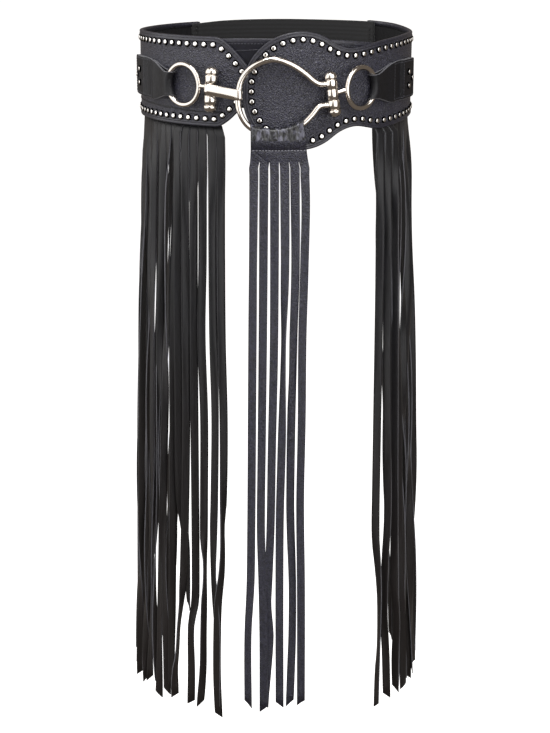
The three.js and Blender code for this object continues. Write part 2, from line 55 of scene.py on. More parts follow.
# The belt's oval and its pieces
OVAL_A, OVAL_B = 149.0, 135.9
SEAM = 0.3
WALL = 3.0
HALF_HEIGHT = 46.3
RIGHT_END, LEFT_END = -354, 332
LOBE_U, LOBE_Z, LOBE_WIDE, LOBE_TALL = 25.3, -8, 58.6, 60.8
LOBE_FROM, LOBE_TO = 188.0, 301
LOBE_RAISE, LOBE_FLAT_FROM, LOBE_FLAT_TO = 3.3, 10, 55
LEATHER_THIN = 1.8
ELASTIC_LOW, ELASTIC_OVERLAP = -39.5, 12
STUD_RADIUS, STUD_INSET, STUD_PITCH = 2.75, 8, 10.4
RING_RADIUS, RING_WIRE, RING_STAND = 21.15, 2.75, 7
NECK_RADIUS, NECK_SHORT = 2.6, 3.6
BAR_RADIUS, BAR_CAP, BAR_BORE, BAR_MIDDLE = 6.8, 7.1, 2.35, 5.4
SLEEVE_HIDDEN, SLEEVE_SHOWN = 5.5, 6.2
BAR_BARREL, BAR_NECK, BAR_END = 5.75, 15.4, 23.9
LOOP_WIRE, LOOP_Y, BOW_RIGHT, BOW_LEFT = 3.05, -147.6, 0.0007, 0.00285
STRAP_OUT, STRAP_SLITS = 11.7, -80
STRIP_WIDTH, STRIP_THICK, BACKING = 8.3, 1.2, 1.4
BACKING_TOP, BACKING_LOW = -40, -46.8
FRINGE_END, FRINGE_FLARE = -703, 20.5
CENTRE_END, CENTRE_FLARE = -694, 10
UNDERLAP_FROM, UNDERLAP_TO, UNDERLAP_LOW, UNDERLAP_SEWN = -80, 120, -26, 5.0

# Where the real one is a little off the even oval and lobe: narrower at the sides, and the
# lobe wider and fuller below on the right
SIDE_FLAT, SIDE_FROM = 1.8, 0.75
LOBE_FULL, LOBE_POWER = 59.6, 2.25

TIP_ROWS = [
    {"u": -70, "half": 46.3}, {"u": -64, "half": 46.2}, {"u": -58, "half": 44.6},
    {"u": -50, "half": 39.3}, {"u": -41, "half": 31}, {"u": -31, "half": 19.6},
    {"u": -25, "half": 12}, {"u": -22, "half": 7},
]
BACK_ROWS = [
    {"u": -354, "top": 43.6}, {"u": -300, "top": 43.5}, {"u": -250, "top": 44},
    {"u": -215, "top": 44.8}, {"u": -180, "top": 45.6}, {"u": -150, "top": 46},
    {"u": -110, "top": 46.3}, {"u": -70, "top": 46.3},
]
WAIST_ROWS = [
    {"u": 57, "top": 43, "low": -59}, {"u": 67, "top": 37.7, "low": -52.3},
    {"u": 78, "top": 34.6, "low": -48.2}, {"u": 89, "top": 34.9, "low": -47.1},
    {"u": 101, "top": 36.3, "low": -49.2}, {"u": 112, "top": 38.3, "low": -51.4},
    {"u": 125, "top": 40, "low": -51.6}, {"u": 142, "top": 41.3, "low": -50.7},
    {"u": 160, "top": 42.4, "low": -49.3}, {"u": 180, "top": 43.2, "low": -47.9},
    {"u": 200, "top": 43, "low": -46.6}, {"u": 215, "top": 42.8, "low": -46.3},
    {"u": 235, "top": 43, "low": -46.3}, {"u": 260, "top": 44, "low": -46.3},
    {"u": 290, "top": 45.5, "low": -46.3}, {"u": 332, "top": 46.3, "low": -46.3},
]
ELASTIC_ROWS = [
    {"u": 320, "top": 45.3}, {"u": 390, "top": 44.7}, {"u": 450, "top": 44.7},
    {"u": 510, "top": 43.8}, {"u": 540, "top": 42.1}, {"u": 554, "top": 41.6},
]
UNDERLAP_ROWS = [
    {"u": -80, "top": 43.5}, {"u": -40, "top": 44.8}, {"u": 0, "top": 45}, {"u": 57, "top": 43},
    {"u": 100, "top": 39}, {"u": 120, "top": 36.5},
]
TAB_ROWS = [
    {"s": 0, "half": 12.4}, {"s": 13, "half": 16.2}, {"s": 27, "half": 20.6},
    {"s": 40, "half": 21.2}, {"s": 60, "half": 21}, {"s": 84, "half": 20.4},
    {"s": 86, "half": 18.6},
]
LOOP_ROUTE = [
    (53.5, 0), (46.6, -0.2), (43.4, 0.5), (38.2, 3.6), (31.5, 9.6), (22.5, 16.2),
    (11.5, 22.1), (-1.1, 25.4), (-15, 22.6), (-27.5, 14.8), (-35.8, 3.3), (-38.9, -11.5),
    (-38.6, -22.7), (-35.5, -32.7), (-30, -41), (-22, -46.7), (-10, -49.3), (4, -49.1), (17, -46.3),
    (28.3, -40.2), (37.2, -31.6), (43.2, -24), (46.4, -22.2), (55.5, -21.9),
]
# Each point of the hook bar: x, y, its middle height, its own height and its thickness
HOOK_ROWS = [
    (-73.6, -137.9, -5.8, 11.4, 3.2),
    (-70.5, -138.75, -6.2, 11.5, 3.4),
    (-67.5, -139.6, -6.6, 11.6, 3.4),
    (-57.4, -142.9, -7.9, 11.6, 3.4),
    (-48.5, -146.25, -9.2, 11.6, 2.8),
    (-43.66, -148.44, -9.9, 11.4, 2),
    (-41.4, -149.45, -10.1, 11.3, 1.6),
]
# The curl of the hook round the loop's wire: its middle in plan, and how far round it goes
CURL_X, CURL_Y, CURL_FROM, CURL_TO = -38.4, -146.57, -20, 112


# Places on the oval
OVAL_STEPS = 1440
ARC = [0.0]
for oval_step in range(OVAL_STEPS):
    oval_angle = math.tau * (oval_step + 0.5) / OVAL_STEPS
    oval_speed = math.hypot(OVAL_A * math.cos(oval_angle), OVAL_B * math.sin(oval_angle))
    ARC.append(ARC[-1] + oval_speed * math.tau / OVAL_STEPS)
ROUND = ARC[-1]


def phi_at(u):
    distance = min(abs(u), ROUND - 1e-6)
    i = min(bisect.bisect_right(ARC, distance) - 1, OVAL_STEPS - 1)
    share = (distance - ARC[i]) / (ARC[i + 1] - ARC[i])
    return math.copysign(math.tau * (i + share) / OVAL_STEPS, u)


def outward(u):
    phi = phi_at(u)
    return Vector((OVAL_B * math.sin(phi), -OVAL_A * math.cos(phi), 0)).normalized()


def on_belt(u, out, z):
    phi = phi_at(u)
    wide = OVAL_A - SIDE_FLAT * ease(SIDE_FROM, 1, abs(math.sin(phi)))
    return Vector((wide * math.sin(phi), -OVAL_B * math.cos(phi), z)) + outward(u) * out


def smooth(rows, key, name, at):
    """A smooth curve through a table's rows."""
    if at <= rows[0][key]:
        return rows[0][name]
    if at >= rows[-1][key]:
        return rows[-1][name]
    i = 0
    while rows[i + 1][key] < at:
        i += 1

    def slope(j):
        before = rows[max(j - 1, 0)]
        after = rows[min(j + 1, len(rows) - 1)]
        return (after[name] - before[name]) / (after[key] - before[key])

    step = rows[i + 1][key] - rows[i][key]
    t = (at - rows[i][key]) / step
    rise = rows[i + 1][name] - rows[i][name]
    start = slope(i) * step
    finish = slope(i + 1) * step
    curve = start * t + (3 * rise - 2 * start - finish) * t ** 2
    return rows[i][name] + curve + (start + finish - 2 * rise) * t ** 3


def ease(start, finish, at):
    t = min(max((at - start) / (finish - start), 0), 1)
    return t * t * (3 - 2 * t)


def chance(i, k):
    """An even number from 0 to 1 for item i and use k, the same in every run."""
    value = math.sin(i * 12.9898 + k * 78.233) * 43758.5453
    return value - math.floor(value)


def steps(start, finish, size):
    count = max(1, round(abs(finish - start) / size))
    return [start + (finish - start) * i / count for i in range(count + 1)]


# Shapes are points in millimetres with faces, and each face's material slot
class Shape:
    def __init__(self):
        self.points = []
        self.faces = []
        self.slots = []

    def add(self, points, faces, slot=0):
        base = len(self.points)
        self.points += points
        self.faces += [tuple(base + i for i in face) for face in faces]
        self.slots += slot if isinstance(slot, list) else [slot] * len(faces)

    def build(self, name, materials, bevel=0.0, bevel_slot=-1):
        mesh = bpy.data.meshes.new(name)
        mesh.from_pydata([point * MM for point in self.points], [], self.faces)
        mesh.polygons.foreach_set("material_index", self.slots)
        work = bmesh.new()
        work.from_mesh(mesh)
        loose = [corner for corner in work.verts if not corner.link_faces]
        bmesh.ops.delete(work, geom=loose, context="VERTS")
        bmesh.ops.recalc_face_normals(work, faces=work.faces)
        work.to_mesh(mesh)
        work.free()
        for material in materials:
            mesh.materials.append(material)
        mesh.polygons.foreach_set("use_smooth", [True] * len(mesh.polygons))
        piece = bpy.data.objects.new(name, mesh)
        bpy.context.collection.objects.link(piece)
        bpy.context.view_layer.objects.active = piece
        if bevel:
            edges = piece.modifiers.new("edges", "BEVEL")
            edges.width = bevel * MM
            edges.segments = 2
            edges.limit_method = "ANGLE"
            edges.angle_limit = math.radians(50)
            edges.material = bevel_slot
            edges.harden_normals = False
            bpy.ops.object.modifier_apply(modifier="edges")
        mesh.update()
        return piece


def wall_between(shape, outer, inner, slots=(0, 1, 2), keep=lambda i, j: True):
    """A closed wall between two grids of points, without the cells that are not kept.
    Its slots are for its outside, its inside and its edges."""
    columns = len(outer)
    rows = len(outer[0])
    points = [p for column in outer for p in column] + [p for column in inner for p in column]
    faces = []
    kinds = []

    def kept(i, j):
        return 0 <= i < columns - 1 and 0 <= j < rows - 1 and keep(i, j)

    def quad(kind, *corners):
        faces.append(corners)
        kinds.append(slots[kind])

    back = columns * rows
    for i in range(columns - 1):
        for j in range(rows - 1):
            if not kept(i, j):
                continue
            a, b = i * rows + j, (i + 1) * rows + j
            c, d = b + 1, a + 1
            quad(0, a, b, c, d)
            quad(1, back + d, back + c, back + b, back + a)
            for p, q, beside in ((a, b, (i, j - 1)), (b, c, (i + 1, j)), (c, d, (i, j + 1)),
                                 (d, a, (i - 1, j))):
                if not kept(*beside):
                    quad(2, q, p, back + p, back + q)
    shape.add(points, faces, kinds)


def loft(shape, sections, slot=0, closed=False, caps=True):
    """A skin over like sections, each a ring of points."""
    count = len(sections[0])
    points = [point for section in sections for point in section]
    faces = []
    runs = len(sections) if closed else len(sections) - 1
    for s in range(runs):
        here = s * count
        there = ((s + 1) % len(sections)) * count
        for i in range(count):
            j = (i + 1) % count
            faces.append((here + i, here + j, there + j, there + i))
    if caps and not closed:
        faces.append(tuple(reversed(range(count))))
        faces.append(tuple(range(len(points) - count, len(points))))
    shape.add(points, faces, slot)


def tube(shape, path, radius, sides, up, closed=False, slot=0, caps=True):
    """A round wire along a path, framed by an up direction or one for each point. Its radius
    is one number or one for each point."""
    sections = []
    for i, place in enumerate(path):
        before = path[i - 1] if closed or i > 0 else place
        after = path[(i + 1) % len(path)] if closed or i < len(path) - 1 else place
        along = (after - before).normalized()
        reference = up[i] if isinstance(up, list) else up
        side = along.cross(reference).normalized()
        over = side.cross(along)
        reach = radius[i] if isinstance(radius, list) else radius
        ring = []
        for k in range(sides):
            angle = math.tau * k / sides
            ring.append(place + side * reach * math.cos(angle) + over * reach * math.sin(angle))
        sections.append(ring)
    loft(shape, sections, slot, closed, caps)


def turned(shape, profile, matrix, sides=32, slot=0):
    """A turned piece: a profile of (radius, height) pairs round the local Y axis."""
    sections = []
    for radius, height in profile:
        sections.append([
            matrix @ Vector((radius * math.cos(math.tau * k / sides), height,
                             radius * math.sin(math.tau * k / sides)))
            for k in range(sides)
        ])
    loft(shape, sections, slot)


def centripetal(points, per_span):
    """A smooth centripetal curve through points, ends included."""
    ends = [points[0] * 2 - points[1], *points, points[-1] * 2 - points[-2]]
    path = []
    for i in range(1, len(ends) - 2):
        p0, p1, p2, p3 = ends[i - 1:i + 3]
        t1 = (p1 - p0).length ** 0.5
        t2 = t1 + (p2 - p1).length ** 0.5
        t3 = t2 + (p3 - p2).length ** 0.5
        for k in range(per_span):
            t = t1 + (t2 - t1) * k / per_span
            a1 = p0 * ((t1 - t) / t1) + p1 * (t / t1)
            a2 = p1 * ((t2 - t) / (t2 - t1)) + p2 * ((t - t1) / (t2 - t1))
            a3 = p2 * ((t3 - t) / (t3 - t2)) + p3 * ((t - t2) / (t3 - t2))
            b1 = a1 * ((t2 - t) / t2) + a2 * (t / t2)
            b2 = a2 * ((t3 - t) / (t3 - t1)) + a3 * ((t - t1) / (t3 - t1))
            path.append(b1 * ((t2 - t) / (t2 - t1)) + b2 * ((t - t1) / (t2 - t1)))
    path.append(points[-1].copy())
    return path


# Materials
def linear(hex_colour):
    """A linear colour from an sRGB hex value."""
    value = hex_colour.lstrip("#")
    channels = [int(value[i:i + 2], 16) / 255 for i in (0, 2, 4)]
    return tuple(c / 12.92 if c <= 0.04045 else ((c + 0.055) / 1.055) ** 2.4
                 for c in channels) + (1.0,)


def add(tree, kind, inputs=None, **settings):
    """Add a node with its settings and its inputs, each a value or a link."""
    new = tree.nodes.new(kind)
    for key, value in settings.items():
        setattr(new, key, value)
    for socket, value in (inputs or {}).items():
        if isinstance(value, bpy.types.NodeSocket):
            tree.links.new(value, new.inputs[socket])
        else:
            new.inputs[socket].default_value = value
    return new


def start_material(name):
    material = bpy.data.materials.new(name)
    material.use_nodes = True
    tree = material.node_tree
    tree.nodes.clear()
    surface = add(tree, "ShaderNodeBsdfPrincipled")
    add(tree, "ShaderNodeOutputMaterial", {"Surface": surface.outputs[0]})
    place = add(tree, "ShaderNodeTexCoord").outputs["Object"]
    return material, tree, surface, place


def per_metre(size_mm):
    """A texture's scale for a pattern of this size."""
    return 1 / (size_mm * MM)


def grain_leather(name, dark, light, roughness, grain_mm, grain_depth_mm, sheen=0.0,
                  ior=1.5):
    """Drum-dyed cowhide, embossed with a fine grain: small cells, tight creases between them
    that take no light, and worn high spots that shine a little more. Real grain is under
    1 mm, and is drawn about 2 mm across so that it shows."""
    material, tree, surface, place = start_material(name)
    cells = add(tree, "ShaderNodeTexVoronoi", {
        "Vector": place, "Scale": per_metre(grain_mm), "Randomness": 0.95,
    }, feature="DISTANCE_TO_EDGE")
    creases = add(tree, "ShaderNodeMapRange", {
        "Value": cells.outputs["Distance"], "From Min": 0.0, "From Max": 0.28,
    }, interpolation_type="SMOOTHSTEP")
    specks = add(tree, "ShaderNodeTexNoise", {
        "Vector": place, "Scale": per_metre(2.2), "Detail": 4.0, "Roughness": 0.75,
    })
    tone_range = add(tree, "ShaderNodeMapRange", {
        "Value": specks.outputs["Fac"], "From Min": 0.36, "From Max": 0.66,
    })
    # The colours of a Mix node are its inputs 6 and 7 and its output 2
    colour = add(tree, "ShaderNodeMix", {
        0: tone_range.outputs[0], 6: linear(dark), 7: linear(light),
    }, data_type="RGBA")
    tree.links.new(colour.outputs[2], surface.inputs["Base Color"])
    shine = add(tree, "ShaderNodeMapRange", {
        "Value": specks.outputs["Fac"], "From Min": 0.3, "From Max": 0.7,
        "To Min": roughness + 0.07, "To Max": roughness - 0.07,
    })
    tree.links.new(shine.outputs[0], surface.inputs["Roughness"])
    height = add(tree, "ShaderNodeMath", {
        0: creases.outputs[0], 1: specks.outputs["Fac"],
    }, operation="ADD")
    bump = add(tree, "ShaderNodeBump", {
        "Strength": 1.0, "Distance": grain_depth_mm * MM, "Height": height.outputs[0],
    })
    tree.links.new(bump.outputs[0], surface.inputs["Normal"])
    surface.inputs["IOR"].default_value = ior
    surface.inputs["Sheen Weight"].default_value = sheen
    surface.inputs["Sheen Roughness"].default_value = 0.5
    return material


def napped_leather(name, dark, light, streak_mm, roughness, brown=None, ior=1.5, sheen=0.15):
    """Leather whose fibres show, as on a hide's split side, a cut edge or a drawn strip: a
    short nap that scatters light, streaked along the cut. Where it has a brown, the dye is
    worn towards the strips' ends. Real nap is finer than 0.3 mm, and is drawn coarser so
    that it shows."""
    material, tree, surface, place = start_material(name)
    stretched = add(tree, "ShaderNodeMapping", {"Vector": place, "Scale": (1, 1, 0.06)})
    streaks = add(tree, "ShaderNodeTexNoise", {
        "Vector": stretched.outputs[0], "Scale": per_metre(streak_mm), "Detail": 5.0,
        "Roughness": 0.65,
    })
    nap = add(tree, "ShaderNodeTexNoise", {
        "Vector": place, "Scale": per_metre(0.9), "Detail": 3.0, "Roughness": 0.7,
    })
    tone = add(tree, "ShaderNodeMapRange", {
        "Value": streaks.outputs["Fac"], "From Min": 0.32, "From Max": 0.68,
    })
    colour = add(tree, "ShaderNodeMix", {
        0: tone.outputs[0], 6: linear(dark), 7: linear(light),
    }, data_type="RGBA")
    final = colour
    if brown:
        height = add(tree, "ShaderNodeSeparateXYZ", {"Vector": place})
        worn = add(tree, "ShaderNodeMapRange", {
            "Value": height.outputs["Z"], "From Min": -0.25, "From Max": -0.66,
            "To Max": 0.75,
        })
        final = add(tree, "ShaderNodeMix", {
            0: worn.outputs[0], 6: colour.outputs[2], 7: linear(brown),
        }, data_type="RGBA")
    tree.links.new(final.outputs[2], surface.inputs["Base Color"])
    bump = add(tree, "ShaderNodeBump", {
        "Strength": 0.7, "Distance": 0.25 * MM, "Height": nap.outputs["Fac"],
    })
    tree.links.new(bump.outputs[0], surface.inputs["Normal"])
    surface.inputs["Roughness"].default_value = roughness
    surface.inputs["IOR"].default_value = ior
    surface.inputs["Sheen Weight"].default_value = sheen
    surface.inputs["Sheen Roughness"].default_value = 0.6
    return material


def painted_light_gathered_leather(name, dark, light, roughness, fold_mm):
    """Soft leather bunched over the wire, in painted light: its ridges are painted pale as
    highlights, and the hollows between them painted black as shade."""
    material, tree, surface, place = start_material(name)
    stretched = add(tree, "ShaderNodeMapping", {"Vector": place, "Scale": (1, 1, 0.55)})
    folds = add(tree, "ShaderNodeTexNoise", {
        "Vector": stretched.outputs[0], "Scale": per_metre(fold_mm), "Detail": 4.0,
        "Roughness": 0.55, "Distortion": 0.6,
    })
    ridges = add(tree, "ShaderNodeMapRange", {
        "Value": folds.outputs["Fac"], "From Min": 0.45, "From Max": 0.66,
    }, interpolation_type="SMOOTHSTEP")
    colour = add(tree, "ShaderNodeMix", {
        0: ridges.outputs[0], 6: linear(dark), 7: linear(light),
    }, data_type="RGBA")
    bump = add(tree, "ShaderNodeBump", {
        "Strength": 1.0, "Distance": 0.9 * MM, "Height": folds.outputs["Fac"],
    })
    tree.links.new(colour.outputs[2], surface.inputs["Base Color"])
    tree.links.new(bump.outputs[0], surface.inputs["Normal"])
    surface.inputs["Roughness"].default_value = roughness
    return material


def plated_nickel(name, colour, roughness):
    """Polished nickel plate on cast zinc: a warm mirror with faint casting ripples and fine
    rubbing that blurs it in places."""
    material, tree, surface, place = start_material(name)
    ripples = add(tree, "ShaderNodeTexNoise", {
        "Vector": place, "Scale": per_metre(6), "Detail": 2.0,
    })
    bump = add(tree, "ShaderNodeBump", {
        "Strength": 0.25, "Distance": 0.12 * MM, "Height": ripples.outputs["Fac"],
    })
    rub = add(tree, "ShaderNodeTexNoise", {
        "Vector": place, "Scale": per_metre(1.5), "Detail": 3.0,
    })
    dull = add(tree, "ShaderNodeMapRange", {
        "Value": rub.outputs["Fac"], "To Min": roughness - 0.05, "To Max": roughness + 0.08,
    })
    tree.links.new(dull.outputs[0], surface.inputs["Roughness"])
    tree.links.new(bump.outputs[0], surface.inputs["Normal"])
    surface.inputs["Base Color"].default_value = linear(colour)
    surface.inputs["Metallic"].default_value = 1.0
    return material


def ribbed_webbing(name, dark, light, rib_mm):
    """Woven elastic: matt yarn ribs that run round the belt."""
    material, tree, surface, place = start_material(name)
    ribs = add(tree, "ShaderNodeTexWave", {
        "Vector": place, "Scale": per_metre(rib_mm) / math.tau, "Distortion": 0.4,
        "Detail": 2.0, "Detail Scale": 3.0,
    }, bands_direction="Z")
    yarn = add(tree, "ShaderNodeTexNoise", {
        "Vector": place, "Scale": per_metre(1.2), "Detail": 3.0,
    })
    tone = add(tree, "ShaderNodeMath", {
        0: ribs.outputs["Fac"], 1: yarn.outputs["Fac"],
    }, operation="MULTIPLY")
    colour = add(tree, "ShaderNodeMix", {
        0: tone.outputs[0], 6: linear(dark), 7: linear(light),
    }, data_type="RGBA")
    tree.links.new(colour.outputs[2], surface.inputs["Base Color"])
    bump = add(tree, "ShaderNodeBump", {
        "Strength": 0.5, "Distance": 0.12 * MM, "Height": ribs.outputs["Fac"],
    })
    tree.links.new(bump.outputs[0], surface.inputs["Normal"])
    surface.inputs["Roughness"].default_value = 0.85
    surface.inputs["Sheen Weight"].default_value = 0.1
    return material


def waxed_thread(name, colour):
    """Bonded nylon thread: twisted, a little glossy. Its twist is finer than 0.5 mm, and is
    drawn at that so that it shows."""
    material, tree, surface, place = start_material(name)
    twist = add(tree, "ShaderNodeTexNoise", {
        "Vector": place, "Scale": per_metre(0.5), "Detail": 1.0,
    })
    bump = add(tree, "ShaderNodeBump", {
        "Strength": 0.6, "Distance": 0.1 * MM, "Height": twist.outputs["Fac"],
    })
    tree.links.new(bump.outputs[0], surface.inputs["Normal"])
    surface.inputs["Base Color"].default_value = linear(colour)
    surface.inputs["Roughness"].default_value = 0.45
    return material


# Finished grain side of the panels: black with a blue-grey bloom on its high spots
cowhide = grain_leather("black cowhide", "#0c0c12", "#353544", 0.31, 2.3, 0.46, 0.03)
# Rims pressed and rubbed smooth: an even, soft shine
rim_hide = grain_leather("burnished rim leather", "#121218", "#2b2b37", 0.33, 1.8, 0.1, 0.03)
# Thinner, softer leather of the centre strap: like the panels, a shade darker
soft_hide = grain_leather("soft black strap leather", "#0c0c12", "#303040", 0.33, 2.4, 0.34,
                          0.03)
# The same leather gathered under the wire: painted highlights on its ridges and painted shade in its
# hollows
painted_light_bunched_hide = painted_light_gathered_leather("leather bunched over the wire", "#09090c", "#50505c", 0.32,
                                4.4)
# Leather of the ring tabs, pressed smooth: nearly black, with a broad dull sheen
tab_hide = grain_leather("smooth black tab leather", "#08080b", "#131318", 0.5, 1.8, 0.1,
                         ior=1.38)
# Lining leather of the underlap: flat and blue-black
lining_hide = grain_leather("dark blue-black lining leather", "#06060e", "#0e0e1a", 0.46, 1.8,
                            0.06, ior=1.33)
# Split side of the panels: takes nearly all the light
flesh_side = napped_leather("flesh side of the hide", "#040405", "#100f12", 3.0, 0.95,
                            ior=1.35, sheen=0.02)
# Cut edges dyed and waxed: a grey line round each piece
cut_edge = napped_leather("dyed cut edge", "#34343a", "#55555c", 1.5, 0.55)
# Fringe leather, drawn and slit: glossy outside and napped inside, browner near its ends
strip_grain = napped_leather("fringe leather", "#070709", "#17171b", 2.2, 0.36, "#1b1614",
                             ior=1.36, sheen=0.04)
strip_flesh = napped_leather("fringe leather's napped side", "#0b0a0b", "#1a1717", 2.2, 0.8,
                             "#201a18", ior=1.4, sheen=0.06)
# Cast metal, plated and polished: a warm mirror, and the pressed studs a whiter one
nickel = plated_nickel("polished nickel plate", "#d4cdc5", 0.12)
bright_nickel = plated_nickel("bright nickel studs", "#e6e4e1", 0.12)
# Leather squeezed up round a stud, painted black as its shade: a black ring that sets the stud off
stud_shade_ring = napped_leather("painted shade ring round a stud", "#010101", "#020202", 1.0, 1.0,
                           ior=1.1, sheen=0.0)
# Woven elastic: dull black with fine ribs
webbing = ribbed_webbing("black ribbed elastic", "#0a0a0b", "#1d1d20", 2.4)
# Sewing threads: black on the panels, worn grey on the tabs, and pale on the strap
thread = waxed_thread("black nylon thread", "#08080a")
grey_thread = waxed_thread("worn black thread", "#3c3c44")
pale_thread = waxed_thread("worn pale thread", "#a4a4ae")


# Panel edges, in u and z
def lobe_raise(u):
    return LOBE_RAISE * (1 - ease(LOBE_FLAT_FROM, LOBE_FLAT_TO, u))


def right_edge(u):
    if u < TIP_ROWS[0]["u"]:
        return smooth(BACK_ROWS, "u", "top", u), -HALF_HEIGHT
    half = smooth(TIP_ROWS, "u", "half", u)
    return half, -half


def stud_line(u):
    if u < WAIST_ROWS[0]["u"]:
        rise = LOBE_TALL * math.sqrt(max(1 - ((u - LOBE_U) / LOBE_WIDE) ** 2, 0))
        return LOBE_Z + rise, LOBE_Z - rise
    return smooth(WAIST_ROWS, "u", "top", u), smooth(WAIST_ROWS, "u", "low", u)


def left_edge(u):
    """The stud line's outline, but wider to the right and fuller below there."""
    if u >= LOBE_U:
        return stud_line(u)
    part = min((LOBE_U - u) / LOBE_FULL, 1)
    return (LOBE_Z + LOBE_TALL * math.sqrt(1 - part ** 2),
            LOBE_Z - LOBE_TALL * (1 - part ** LOBE_POWER) ** (1 / LOBE_POWER))


def right_columns(size):
    tip_from, tip_to = TIP_ROWS[0]["u"], TIP_ROWS[-1]["u"]
    return steps(RIGHT_END, tip_from, size) + steps(tip_from, tip_to, size / 2)[1:]


def left_columns(size, wide):
    """Columns that run round the lobe by its angle, then on along the waist."""
    columns = []
    angle = LOBE_FROM
    while angle < LOBE_TO:
        columns.append(LOBE_U + wide * math.cos(math.radians(angle)))
        angle += size
    return columns + steps(WAIST_ROWS[0]["u"], LEFT_END, size)


def edge_path(columns, edge, size):
    """A panel's edge as (u, z) points: along the top to the front, then back below."""
    front_first = columns[0] > RIGHT_END + 1
    order = columns if front_first else columns[::-1]
    upper = [(u, edge(u)[0]) for u in order][::-1]
    lower = [(u, edge(u)[1]) for u in order]
    rough = upper + lower
    path = [rough[0]]
    left_over = 0.0
    for (u0, z0), (u1, z1) in zip(rough, rough[1:]):
        length = math.hypot(u1 - u0, z1 - z0)
        at = size - left_over
        while at <= length:
            path.append((u0 + (u1 - u0) * at / length, z0 + (z1 - z0) * at / length))
            at += size
        left_over = (left_over + length) % size
    return path, (1 if front_first else -1)


def inset_path(path, turn, inset):
    """The edge moved into the panel, without the points that come too near it elsewhere."""
    moved = []
    for i in range(1, len(path) - 1):
        du = path[i + 1][0] - path[i - 1][0]
        dz = path[i + 1][1] - path[i - 1][1]
        length = math.hypot(du, dz)
        at = (path[i][0] - turn * dz * inset / length, path[i][1] + turn * du * inset / length)
        near = path[max(i - 60, 0):i + 60]
        if all(math.hypot(u - at[0], z - at[1]) > inset - 0.3 for u, z in near):
            moved.append(at)
    return moved


def walked(path, pitch, anchor=None):
    """Points an even distance apart along a path, one of them beside the anchor."""
    walk = [0.0]
    for (u0, z0), (u1, z1) in zip(path, path[1:]):
        walk.append(walk[-1] + math.hypot(u1 - u0, z1 - z0))
    start = 0.0
    if anchor:
        gaps = [math.hypot(u - anchor[0], z - anchor[1]) for u, z in path]
        start = walk[gaps.index(min(gaps))] % pitch
    places = []
    while start <= walk[-1]:
        i = max(bisect.bisect_left(walk, start), 1)
        share = (start - walk[i - 1]) / (walk[i] - walk[i - 1])
        (u0, z0), (u1, z1) = path[i - 1], path[i]
        places.append((u0 + (u1 - u0) * share, z0 + (z1 - z0) * share))
        start += pitch
    return places


def clear_of_lobe(u, z):
    room = STUD_RADIUS + SEAM
    return math.hypot((u - LOBE_U) / (LOBE_WIDE + room), (z - LOBE_Z) / (LOBE_TALL + room)) > 1


# Each stud row runs both ways from a stud that the photograph shows, where its test holds
RIGHT_ANCHORS = [
    ((-49.3, 26.7), lambda u, z: z > 0 and clear_of_lobe(u, z)),
    ((-49.2, -25.9), lambda u, z: z <= 0 and clear_of_lobe(u, z)),
]
LEFT_ANCHORS = [((-25.3, -8.7), lambda u, z: True)]


# Small repeated pieces
STUD_SIDES, STITCH_RADIUS, STITCH_STEP = 18, 0.3, 0.5
STUD_CAP = [(2.3, 0.9), (2.42, 1.15), (2.4, 1.3), (2.25, 1.5), (2.0, 1.66), (1.7, 1.76),
            (1.3, 1.83), (0.8, 1.88), (0.02, 1.9)]
# The raised leather ring round each stud, which takes the painted shade
STUD_SHADE_RING = [(0.02, 0.05), (3.7, 0.05), (3.7, 0.4), (3.4, 0.75), (2.9, 0.95), (2.3, 1.0),
             (0.02, 1.0)]


def stud(shape, u, out, z):
    """A flat rivet cap in the ring of leather that it squeezes up round itself, that ring painted
    black as the shade round the stud.
    """
    axis = outward(u)
    side = Vector((-axis.y, axis.x, 0))
    matrix = Matrix((side, axis, UP)).transposed().to_4x4()
    matrix.translation = on_belt(u, out, z)
    turned(shape, STUD_SHADE_RING, matrix, STUD_SIDES, 1)
    turned(shape, STUD_CAP, matrix, STUD_SIDES)


def stitch(shape, start, finish, away):
    """One stitch: thread that rises out of the leather, lies on it and dips back in."""
    path = []
    for share, lift in ((0.0, -0.45), (0.16, 0.1), (0.5, 0.24), (0.84, 0.1), (1.0, -0.45)):
        path.append(start.lerp(finish, share) + away * lift)
    tube(shape, path, STITCH_RADIUS, 5, away, caps=False)


def stitch_row(shape, path, out, pitch=3.4, length=2.5):
    """Stitches along a (u, z) path on the belt's face."""
    places = walked(path, STITCH_STEP)
    gap = max(2, round(pitch / STITCH_STEP))
    reach = max(1, round(length / STITCH_STEP))
    for i in range(0, len(places) - reach, gap):
        (u0, z0), (u1, z1) = places[i], places[i + reach]
        stitch(shape, on_belt(u0, out(u0), z0), on_belt(u1, out(u1), z1), outward(u0))


# The two leather panels
RIM = [(0.2, -3.3), (0.0, -2.9), (-0.05, -0.4), (0.25, 0.2), (0.9, 0.55), (1.8, 0.6),
       (2.4, 0.28), (2.9, 0.3), (3.6, 0.68), (4.6, 0.66), (5.3, 0.3), (5.5, -0.5), (5.4, -3.3)]


def waver(u, z, size, height):
    """The slight unevenness of a hand-laid hide."""
    return height * noise.noise(Vector((u / size, z / size, 1.7)))


PANEL_ROWS, EDGE_STEP, EDGE_SEWN = 15, 1.5, 5.9


